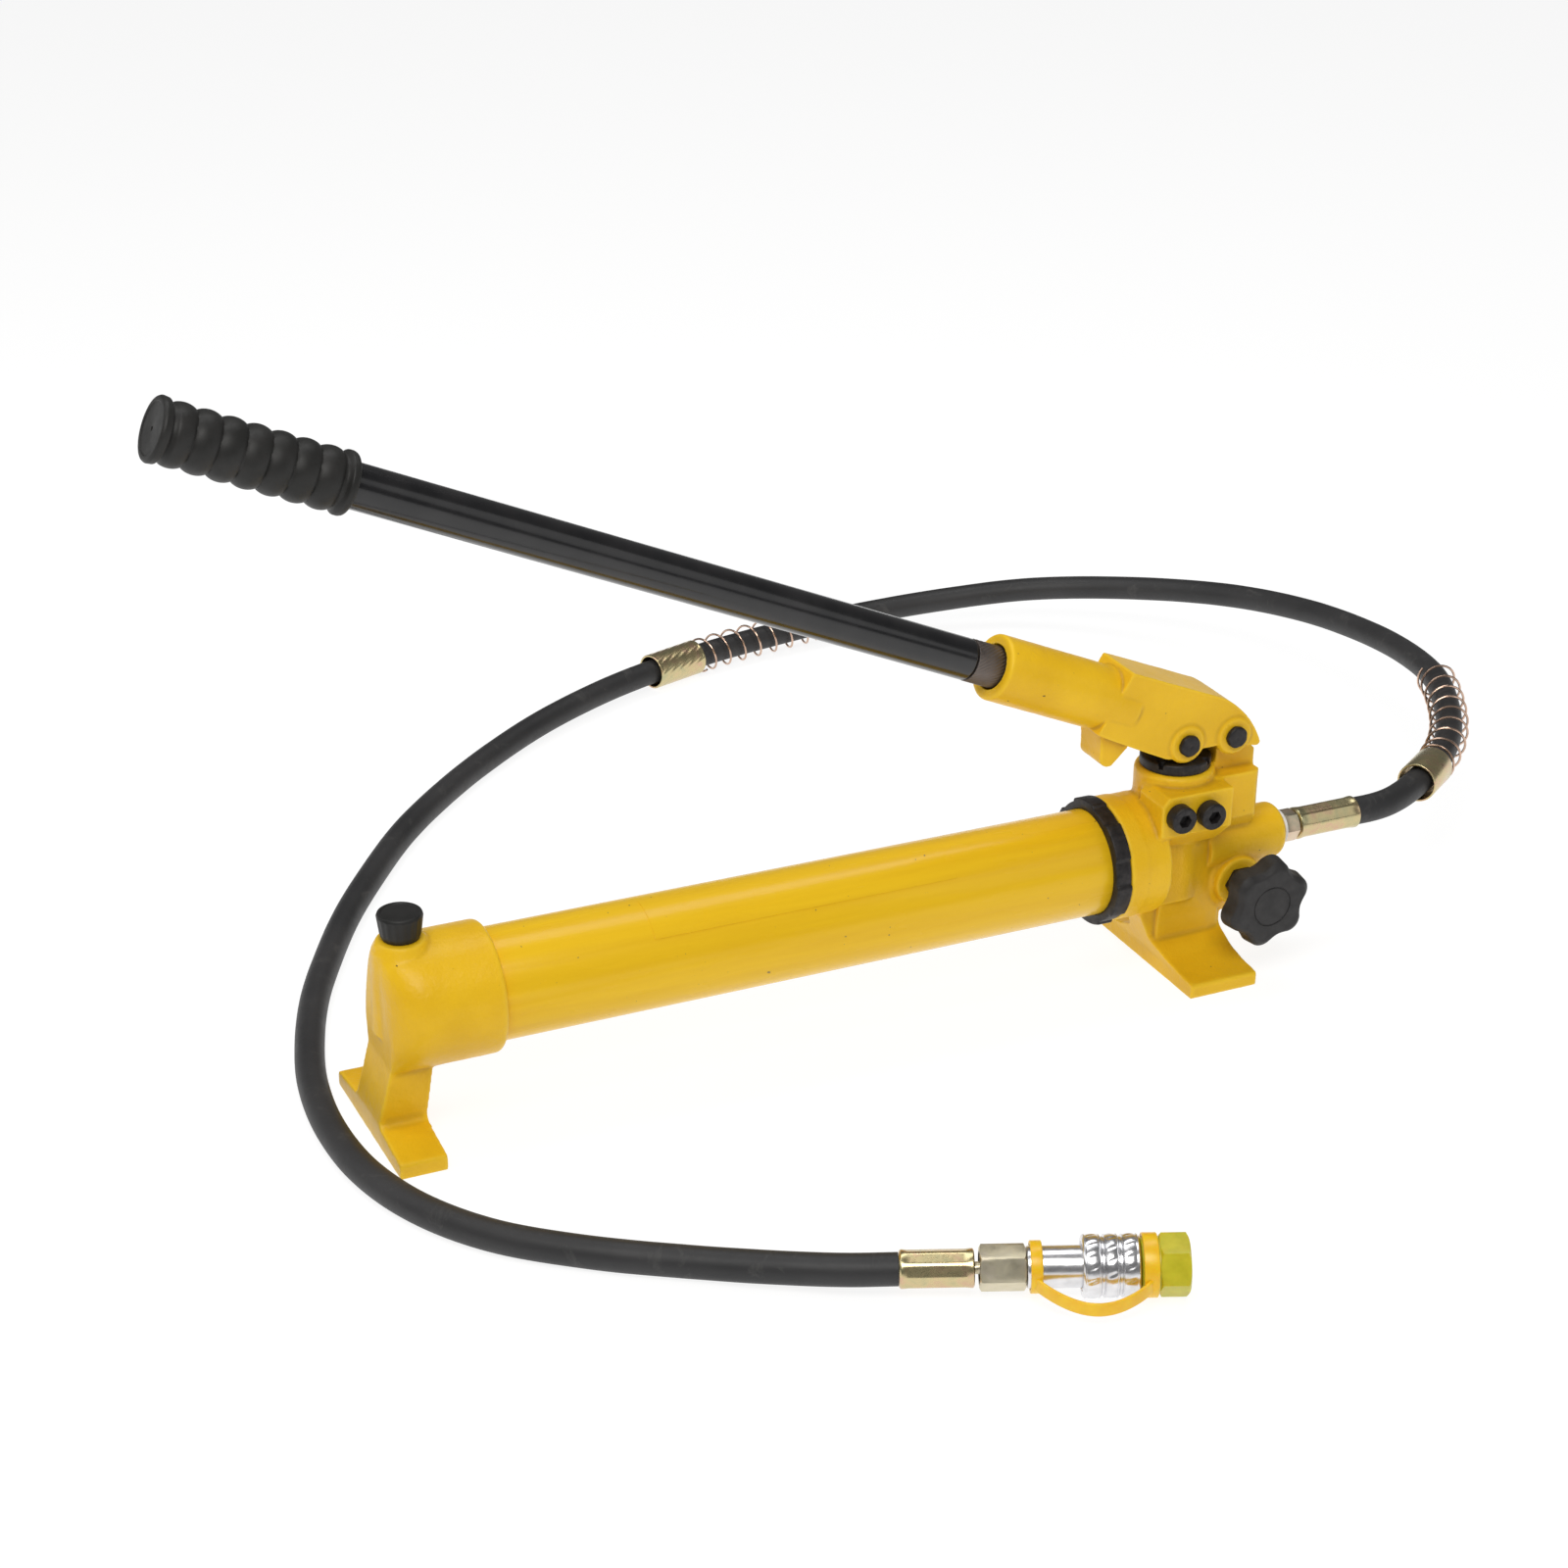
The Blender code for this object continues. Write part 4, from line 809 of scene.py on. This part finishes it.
def make_reservoir():
    centre = (0, 0, TANK_Z)
    low, high = TUBE_ENDS
    profile = [(TUBE_INNER_R, low), (TUBE_R, low, 0.8), (TUBE_R, high, 0.8), (TUBE_INNER_R, high)]
    shell = lathe("reservoir_shell", profile, "x", centre, 144)
    # blank film stuck on the tube
    turns = [math.radians(88 + 2 * i) for i in range(27)]
    film = sector(TUBE_R - 1, TUBE_R + 0.3, turns)
    union(shell, prism("film", film, *FILM_ENDS, "x", centre))
    worn(shell, "tube", "pump", "reservoir_tube")
    outline = []
    lugs, lug_share, ramp_share, count = 6, 0.62, 0.03, 240
    for i in range(count):
        angle = TAU * i / count
        step = (angle / TAU * lugs) % 1
        rise = min(1.0, max(0.0, min(step / ramp_share, (lug_share - step) / ramp_share)))
        outline.append(polar(LOCK_RING_R + LOCK_LUG * rise, angle))
    nut = prism("lock_nut", outline, LOCK_RING_REAR, HEAD_REAR - FIT, "x", centre, bevel=0.9)
    subtract(nut, rod("hole", TUBE_R + FIT, -60, -40, "x", centre, 128))
    worn(bevelled(nut, 0.35, 2), "oxide", "pump", "lock_ring")
    base = FILLER_PAD_TOP + FIT
    plug = [(0, 98), (6.4, 98), (7.0, 99), (7.0, base, 0), (10.2, base), (11.3, base + 3, 2),
            (12.7, 129.6, 1.2), (12.1, 131.2, 1.0), (10.6, 131.2, 0.3), (10.2, 130.6, 0.3), (0, 130.4)]

    def ribs(radii, h, angles):
        if base + 1 < h < 129.5 and radii[0] > 9:
            return radii * (1 + 0.012 * np.cos(18 * angles))
        return radii

    worn(lathe("filler_plug", plug, "z", (FILLER_X, 0, 0), 108, ribs), "black", "filler_cap", "filler_cap")


def make_plunger_set():
    profile = [(0, 76), (PLUNGER_R, 76, 1), (PLUNGER_R, 137), (9.7, 138.9, 0.3), (0, 138.9)]
    plunger = lathe("plunger_rod", profile, sides=64)
    z = PIVOT[2]
    top = [(-13, 141.4, 1), (-9, 138.6, 1), (9, 138.6, 1), (11.6, 141.4, 1), (11.6, z + 7, 4),
           (8, z + 9.5, 4), (-9.4, z + 9.5, 4), (-13, z + 6, 4)]
    union(plunger, prism("eye", top, -LUG_Y, LUG_Y, "-y", bevel=0.6))
    half = PIN_R + 0.95
    slot = arc((PIN_X - 0.2, z - half), (PIN_X - 0.2, z + half), half * 0.99, 12)
    slot += arc((2.9, z + half), (2.9, z - half), half * 0.99, 12)
    subtract(plunger, prism("slot", slot, -15, 15, "-y"))
    worn(plunger, "steel", "plunger", "plunger")
    bore, seat = PLUNGER_BORE_R, BOSS_TOP + FIT
    gland = [(bore, 120.4), (17.3, 120.4), (17.3, seat, 0), (GLAND_R, seat, 0.6), (GLAND_R, GLAND_TOP, 1.8),
             (13.6, GLAND_TOP, 0.8), (13.6, 133.6), (bore, 133.6)]
    nut = lathe("gland_ring", gland, sides=128, steps=5)
    for k in range(4):
        spot = (*polar(19.4, math.radians(35 + 90 * k)), 0)
        subtract(nut, rod("spanner_hole", 2.3, GLAND_TOP - 3.5, GLAND_TOP + 2, "z", spot, 24))
    worn(bevelled(nut, 0.25, 2, 55), "oxide", "pump", "gland_nut")
    wiper = [(bore, 133.9), (13.3, 133.9), (13.3, GLAND_TOP, 0.5), (11.9, GLAND_TOP + 0.6, 0.4),
             (bore, GLAND_TOP + 0.2)]
    worn(lathe("wiper_lip", wiper, sides=72), "rubber", "pump", "wiper_ring")


def make_plugs():
    front = -PAD_Y + FIT
    back = front + 8
    for tag, (x, z) in PLUGS.items():
        profile = [(0, 26), (4.7, 26), (4.7, front, 0), (8.3, front, 0.3), (8.3, back, 1.4), (0, back)]
        plug = lathe("relief_plug_body_" + tag, profile, "-y", (x, 0, z), 160, steps=4)
        subtract(plug, prism("key", hexagon(7.4), front + 3.0, front + 12, "-y", (x, 0, z)))
        worn(bevelled(plug, 0.3, 2, 50), "oxide", "pump", "relief_plug_" + tag)


def make_release_valve():
    gland = prism("release_gland_nut", hexagon(19), 20.3, 27, "-y", VALVE, bevel=0.6)
    union(gland, rod("thread", 6.7, 8, 22, "-y", VALVE, 48))
    subtract(gland, rod("hole", SPINDLE_R + FIT, 0, 40, "-y", VALVE, 40))
    worn(gland, "oxide", "pump", "release_gland")
    spindle = [(0, -4), (1.2, -4), (SPINDLE_R, 1), (SPINDLE_R, 47), (0, 47)]
    worn(lathe("release_stem", spindle, "-y", VALVE, 48), "steel", "release_valve", "release_spindle")

    def lobes(radii, h, angles):
        wave = np.cos(KNOB_SIDES * (angles - math.radians(18)))
        return radii * (1 + 0.088 * (np.sign(wave) * np.abs(wave) ** 0.85) * np.clip((radii - 12) / 12, 0, 1))

    knob = [(0, 32), (9.5, 32, 1.2), (10, 40, 1.5), (24, 40.2, 2.2), (26.4, 43, 2.5), (25.2, 53, 3),
            (22.0, 56, 2.6), (12.9, 56, 0.25), (12.7, 55.4, 0.15), (12.1, 55.4, 0.15), (11.9, 55.9, 0.25),
            (0, 55.9)]
    knob = lathe("release_knob_body", knob, "-y", VALVE, 192, lobes, steps=6)
    subtract(knob, rod("hole", SPINDLE_R + FIT, 30, 47.3, "-y", VALVE, 40))
    worn(knob, "knob", "release_valve", "release_knob")


# ---- handle and pins

def make_handle():
    knurl = grooved(-8, 17.4, 11.9, 0.16, 34, 2.1)
    r, inner = SHANK_R, TUBE_BORE_R - FIT
    shank = [(0, -58), (r, -58, 0.8)] + [(r, -8 + 0.36 * k, 0) for k in range(70)]
    shank += [(r, 17.3, 0.2), (inner, 17.6, 0), (inner, 40), (0, 40)]
    worn(lathe("shank_rod", shank, HANDLE_AXIS, MOUTH, 204, knurl), "shank", "lever", "handle_shank")
    start, end = 18, GRIP[1] - 7
    tube = [(TUBE_BORE_R, start, 0.6), (HANDLE_R, start, 2.2), (HANDLE_R, end, 0), (TUBE_BORE_R, end, 0)]
    pipe = lathe("handle_pipe", tube, HANDLE_AXIS, MOUTH, 96, closed=True, steps=6)
    worn(pipe, "handle", "lever", "handle_tube")
    make_grip()


def make_grip():
    """Soft sleeve: two flanges and seven bulging lobes between slanted grooves."""
    low, high = GRIP
    first, last = low + 6.2, high - 6.2
    pitch = (last - first) / GRIP_LOBES
    tilt = 0.13 * pitch

    def radius_at(h, angles):
        phase = (h - first - tilt * np.cos(angles)) / pitch
        wave = np.abs(np.sin(np.pi * np.clip(phase, 0, GRIP_LOBES)))
        return 14.3 + 2.35 * wave ** 0.62

    def shape(radii, h, angles):
        if first <= h <= last and radii[0] > HANDLE_R + 1.5:
            ease = min(1.0, min(h - first, last - h) / 2.5)
            return radius_at(h, angles) * ease + 14.6 * (1 - ease)
        return radii

    rows = [(15, first + (last - first) * k / 150, 0) for k in range(151)]
    bore = HANDLE_R + FIT
    profile = [(bore, low), (16.4, low, 0.8), (17.0, low + 1.6, 1.2), (17.0, low + 4, 1.2),
               (14.6, low + 5.6, 0.5)]
    profile += rows
    profile += [(14.6, high - 5.8, 0.4), (16.8, high - 4.9, 0.9), (17.2, high - 1.6, 1.4), (16.2, high, 1.4),
                (13.9, high, 0.3), (13.5, high - 0.5, 0.3), (1.2, high - 0.5, 0.2), (1.2, high - 3, 0),
                (0, high - 3, 0), (0, high - 6.5, 0), (bore, high - 6.5, 0)]
    grip = lathe("grip_sleeve", profile, HANDLE_AXIS, MOUTH, 96, shape, closed=True, steps=4)
    worn(grip, "black", "lever", "grip", 50)


def make_pin(name, x):
    z = PIVOT[2]
    y = CHEEK_BOSS_Y + FIT
    profile = [(0, -24.5), (PIN_R, -24.5, 0.6), (PIN_R, -22.0, 0.2), (4.2, -22.0, 0.2), (4.2, -y, 0.2),
               (PIN_R, -y, 0), (PIN_R, y, 0), (6.6, y, 0.2), (6.6, y + 3, 1.1), (1.2, y + 3, 0.2),
               (0, y + 2.7)]

    def hammered(radii, h, angles):
        if h > y and radii[0] > 5:
            return radii * (1 + 0.018 * np.cos(5 * angles + x) + 0.012 * np.cos(9 * angles - x))
        return radii

    worn(lathe(name + "_rod", profile, "-y", (x, 0, z), 64, hammered), "oxide", "lever", name)
    opening = math.radians(50)
    turns = [opening + (TAU - 2 * opening) * i / 36 for i in range(37)]
    clip = prism(name + "_e_clip", sector(4.6, 7.6, turns), -21.6, -y - FIT, "-y", (x, 0, z), bevel=0.2)
    worn(clip, "oxide", "lever", name + "_clip")


# ---- hose and coupler

def spline_through(points, per_span=12):
    """Centripetal Catmull-Rom curve through the points."""
    knots = [Vector(p) for p in points]
    knots = [knots[0] * 2 - knots[1]] + knots + [knots[-1] * 2 - knots[-2]]
    curve = []
    for a, b, c, d in zip(knots, knots[1:], knots[2:], knots[3:]):
        t1 = math.sqrt((b - a).length)
        t2 = t1 + math.sqrt((c - b).length)
        t3 = t2 + math.sqrt((d - c).length)
        for i in range(per_span):
            t = t1 + (t2 - t1) * i / per_span
            ab = a * ((t1 - t) / t1) + b * (t / t1)
            bc = b * ((t2 - t) / (t2 - t1)) + c * ((t - t1) / (t2 - t1))
            cd = c * ((t3 - t) / (t3 - t2)) + d * ((t - t2) / (t3 - t2))
            abc = ab * ((t2 - t) / t2) + bc * (t / t2)
            bcd = bc * ((t3 - t) / (t3 - t1)) + cd * ((t - t1) / (t3 - t1))
            curve.append(abc * ((t2 - t) / (t2 - t1)) + bcd * ((t - t1) / (t2 - t1)))
    curve.append(knots[-2])
    return curve


class Line:
    """A curve that can be read at any distance along it."""

    def __init__(self, points):
        self.points = np.array([tuple(p) for p in points])
        steps = np.linalg.norm(np.diff(self.points, axis=0), axis=1)
        self.marks = np.concatenate(([0.0], np.cumsum(steps)))
        self.length = float(self.marks[-1])

    def at(self, distance):
        return Vector([float(np.interp(distance, self.marks, self.points[:, k])) for k in range(3)])

    def along(self, distance, reach=4):
        return (self.at(distance + reach) - self.at(distance - reach)).normalized()


def coupler_point(s):
    return COUPLER_START + COUPLER_AXIS * s


HOSE_LINE = Line(spline_through(HOSE_ROUTE + [coupler_point(-26), coupler_point(-0.3)]))


def frames_along(centres):
    """Side vectors carried along a line of points without twist."""
    tangents = [(centres[min(i + 1, len(centres) - 1)] - centres[max(i - 1, 0)]).normalized()
                for i in range(len(centres))]
    side = tangents[0].orthogonal().normalized()
    frames = []
    for tangent in tangents:
        side = (side - tangent * side.dot(tangent)).normalized()
        frames.append((side, tangent.cross(side)))
    return frames


def around(centre, frame_at, radius, angle):
    side, up = frame_at
    across, rise = polar(radius, angle)
    return centre + side * across + up * rise


def tube_along(name, centres, radii, sides):
    rings = []
    for centre, frame_at, radius in zip(centres, frames_along(centres), radii):
        rings.append([around(centre, frame_at, radius, TAU * i / sides) for i in range(sides)])
    return skinned(name, rings)


def coil(name, centres, radius, per_turn, wire_r):
    """Wire wound round a row of centres, `per_turn` of them to a turn."""
    path = []
    for i, (centre, frame_at) in enumerate(zip(centres, frames_along(centres))):
        path.append(around(centre, frame_at, radius, TAU * i / per_turn))
    return tube_along(name, path, [wire_r] * len(path), 10)


def make_hose():
    line = HOSE_LINE
    count = 420
    marks = [line.length * i / count for i in range(count + 1)]
    centres = [line.at(m) for m in marks]
    radii = [HOSE_R + 0.06 * noise.noise(Vector((m / 23.0, 0, 0))) for m in marks]
    hose = worn(tube_along("rubber_hose", centres, radii, 40), "hose", "pump", "hose")
    path = [tuple(c * MM) for c in centres]
    return hose, path


def guard_spring(name, start, end, turns, node):
    """Open coil round the hose, with its last half turns closed up at both ends."""
    per_turn, wire_r = 28, 0.8
    total = turns + 1.0
    steps = int(total * per_turn)
    centres = []
    for i in range(steps + 1):
        turn = i / per_turn
        share = min(max((turn - 0.5) / turns, 0.0), 1.0)
        creep = 0.9 * (turn - 0.5 - share * turns)
        centres.append(HOSE_LINE.at(start + (end - start) * share + creep * 2 * wire_r))
    spring = coil(name, centres, GUARD_COIL_R, per_turn, wire_r)
    return worn(spring, "wire", "pump", node)


def guard_sleeve(name, start, end, node, ridged):
    middle, half = (start + end) / 2, (end - start) / 2
    inner, r = 11.2, GUARD_SLEEVE_R
    profile = [(inner, -half), (r, -half, 0.6), (r, half, 0.6), (inner, half)]
    if ridged:
        rows = [(r, -half + 1.5 + (2 * half - 3) * k / 90, 0) for k in range(91)]
        profile = [(inner, -half), (r, -half, 0.5)] + rows + [(r, half, 0.5), (inner, half)]
    rolled = grooved(1.6 - half, half - 1.6, 12, 0.09, 20, 0.75) if ridged else None
    axis, origin = HOSE_LINE.along(middle), HOSE_LINE.at(middle)
    sleeve = lathe(name, profile, axis, origin, 160, rolled, closed=True)
    return worn(sleeve, "yellow_zinc", "pump", node)


def crimped(low, high, depth=0.55, count=8, turn=0.0):
    """Ring reshaping for a ferrule that a die has pressed flat in `count` places."""
    def shape(radii, h, angles):
        if low < h < high and radii[0] > 9:
            cell = (angles + turn) % (TAU / count) - TAU / count / 2
            flat = radii * math.cos(TAU / count / 2) / np.cos(cell)
            ease = min(1.0, min(h - low, high - h) / 1.5)
            pressed = np.minimum(radii, flat + depth * 0.6)
            return radii + (pressed - depth * 0.4 - radii) * ease
        return radii
    return shape


def ferrule_profile(low, high):
    inner, outer = OIL_BORE_R, FERRULE_R
    rows = [(outer, low + 1.6 + (high - low - 3.2) * k / 24, 0) for k in range(25)]
    front = [(inner, low), (outer - 1.0, low, 0.4), (outer, low + 1.0, 0.5)]
    return front + rows + [(outer, high - 0.6, 0.5), (outer - 0.8, high, 0.4), (inner, high)]


def hex_nut(name, across, low, high, axis, origin, turn=0.0):
    """Hexagon with its corners turned off at both ends."""
    nut = prism(name, hexagon(across, turn), low, high, axis, origin)
    r = across / math.sqrt(3)
    flat, slant = across / 2 - 0.2, (r - across / 2) * 0.62
    turned = [(0, low), (flat, low, 0), (r + 0.1, low + slant, 0), (r + 0.1, high - slant, 0),
              (flat, high, 0), (0, high)]
    combine(nut, "INTERSECT", lathe("corner", turned, axis, origin, 96))
    return nut


def make_port_fittings():
    centre = (0, 0, PORT_Z)
    tilt = Vector((1, 0.05, -0.04)).normalized()
    washer = [(8.6, -1.0), (11.5, -1.0, 0.4), (11.5, 0.9, 0.4), (8.6, 0.9)]
    worn(lathe("port_washer", washer, tilt, (PORT_END + 1.5, 0, PORT_Z), 72, closed=True), "washer", "pump",
         "outlet_washer")
    nut = hex_nut("port_adapter", 17.5, PORT_END + 2.9, 88.6, "x", centre)
    union(nut, rod("thread", 7.7, 60, 80, "x", centre, 48))
    subtract(nut, rod("bore", OIL_BORE_R, 50, 95, "x", centre, 32))
    worn(bevelled(nut, 0.3, 2, 25), "pink_zinc", "pump", "outlet_adapter")
    ferrule = lathe("pump_ferrule", ferrule_profile(89.0, 132.7), "x", centre, 144,
                    crimped(92, 130, turn=0.2), closed=True)
    worn(ferrule, "yellow_zinc", "pump", "pump_end_ferrule")


def make_coupler():
    axis, start = COUPLER_AXIS, COUPLER_START
    pieces = []
    ferrule = lathe("coupler_ferrule", ferrule_profile(0, 38), axis, start, 144, crimped(2.5, 35.5),
                    closed=True)
    pieces.append(worn(ferrule, "yellow_zinc", "pump", "coupler_end_ferrule"))
    nut = hex_nut("coupler_hex", 21, 40.5, 64, axis, start, 0.1)
    union(nut, rod("shoulder", 8.4, 38.3, 42, axis, start, 48), rod("thread", 6.5, 63, 80, axis, start, 48))
    subtract(nut, rod("bore", OIL_BORE_R, 30, 90, axis, start, 32))
    pieces.append(worn(bevelled(nut, 0.35, 2, 25), "beige_zinc", "pump", "coupler_adapter"))
    body = [(6.8, 64.4), (STEM_R, 64.4, 0.6), (STEM_R, 94.5, 0), (12.2, 94.5), (12.2, 97.5),
            (STEM_R, 97.5, 0), (STEM_R, 120.5), (8.0, 120.5), (8.0, 86, 0), (6.8, 84, 0)]
    stem = lathe("coupler_stem", body, axis, start, 96, closed=True)
    pieces.append(worn(stem, "chrome", "pump", "coupler_body"))
    pieces.append(make_collar(axis, start))
    cap = hex_nut("dust_cap_hex", 28.5, 131, 146.3, axis, start, 0.12)
    bevelled(cap, 1.2, 4, 25)
    neck = [(0, 121.6), (14.2, 121.6, 1.0), (14.2, 133, 0), (0, 133)]
    union(cap, lathe("neck", neck, axis, start, 64), rod("plug", 7.5, 111.5, 123, axis, start, 48))
    subtract(cap, lathe("hollow", [(0, 127), (10.0, 127, 1.5), (10.8, 150, 0), (0, 150)], axis, start, 64))
    pieces.append(worn(bevelled(cap, 0.5, 3, 40), "cap", "dust_cap", "dust_cap"))
    pieces.append(make_strap(axis, start))
    return pieces


def make_collar(axis, start):
    """Pull-back sleeve with three knurled bands between two grooves."""
    r = COLLAR_R
    bands = ((93.6, 100.4), (103.8, 109.4), (112.8, 119.2))

    def knurl(radii, h, angles):
        for low, high in bands:
            if low <= h <= high and radii[0] > 15:
                swell = math.sin(math.pi * (h - low) / (high - low))
                dents = np.maximum(np.cos(14 * angles + h / 3), 0) ** 2
                return radii - 0.5 * (1 - swell) - 0.3 * dents * swell
        return radii

    profile = [(12.7, 92), (r - 1.0, 92, 0.4), (r, 93, 0.4)]
    for low, high in bands:
        profile += [(r, low + (high - low) * k / 22, 0) for k in range(23)]
        if high < 118:
            profile += [(r, high + 0.5, 0.2), (r - 1.2, high + 1.2, 0.3), (r - 1.2, high + 2.2, 0.3),
                        (r, high + 2.9, 0.2)]
    profile += [(r, 120, 0.4), (r - 1, 121, 0.4), (11.1, 121), (11.1, 108.5, 0), (12.7, 108.5, 0)]
    collar = lathe("pull_collar", profile, axis, start, 208, knurl, closed=True)
    return worn(collar, "chrome", "coupler_collar", "coupler_collar", 60)


def make_collar_spring():
    """Return spring of the collar, built as a fixed coil; on the real coupler it closes up as the collar is
    pulled back.
    """
    low, high = COLLAR_SPRING
    turns, per_turn = 3, 28
    count = turns * per_turn
    centres = [coupler_point(low + (high - low) * i / count) for i in range(count + 1)]
    spring = coil("collar_coil", centres, 11.75, per_turn, 0.45)
    worn(spring, "steel", "pump", "collar_spring")
    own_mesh(spring)
    return spring


def make_strap(axis, start):
    """Loose ring round the stem, ring on the cap's neck and the band between them."""
    axis = Vector(axis)
    strap = lathe("cap_strap", [(11.6, 66), (13.4, 66), (13.4, 72), (11.6, 72)], axis, start, 72, closed=True)
    ring = [(14.5, 122.4), (16.4, 122.4), (16.4, 130.2), (14.5, 130.2)]
    second = lathe("cap_ring", ring, axis, start, 72, closed=True)
    side = axis.cross(Vector((0, 0, 1))).normalized()
    up = side.cross(axis).normalized()
    centres = []
    steps = 48
    for i in range(steps + 1):
        t = i / steps
        out = 12.6 + 16.5 * math.sin(math.pi * t) ** 0.8 + 2.8 * t
        down = 2.0 + 3.5 * math.sin(math.pi * t)
        centres.append(start + axis * (69 + 57.3 * t) + side * out - up * down)
    rings = []
    section = rounded([(-0.9, -3.6), (0.9, -3.6), (0.9, 3.6), (-0.9, 3.6)], 0.4, 3, True)
    for i, centre in enumerate(centres):
        tangent = (centres[min(i + 1, steps)] - centres[max(i - 1, 0)]).normalized()
        across = tangent.cross(up).normalized()
        rise = across.cross(tangent).normalized()
        rings.append([centre + across * a + rise * b for a, b in section])
    union(strap, second, skinned("band", rings))
    return worn(strap, "strap", "dust_cap", "dust_cap_strap")


# ---- build

NODE_LOOKS = {
    "steel": ("suction_tube", "suction_strainer", "relief_spring_high", "relief_spring_low",
              "relief_ball_high", "relief_ball_low", "suction_check_ball", "outlet_check_ball",
              "outlet_check_spring", "release_ball", "poppet_spring"),
    "rubber": ("head_seal", "cap_seal", "plunger_seal"),
    "chrome": ("coupler_poppet",),
}

LOOKS = make_looks()
make_camera()
hose, hose_path = make_hose()
cord_pieces = [
    guard_sleeve("pump_guard_sleeve", 66, 98, "pump_end_guard_sleeve", False),
    guard_spring("pump_guard_coil", 103, 250, 8, "pump_end_guard_spring"),
    guard_sleeve("far_sleeve", 935, 978, "far_guard_sleeve", True),
    guard_spring("far_guard_coil", 832, 930, 7, "far_guard_spring"),
]
cord_pieces += make_coupler()
cord_pieces.append(make_collar_spring())
cord_pieces += [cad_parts[n] for n in ("coupler_poppet", "poppet_spring")]
make_studio()
make_rear_cap()
make_head()
make_lever()
make_reservoir()
make_plunger_set()
make_plugs()
make_release_valve()
make_handle()
make_pin("plunger_pin", PIN_X)
make_pin("pivot_pin", PIVOT[0])
make_port_fittings()
for look, nodes in NODE_LOOKS.items():
    for node in nodes:
        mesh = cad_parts[node].data
        mesh.materials.clear()
        mesh.materials.append(LOOKS[look])
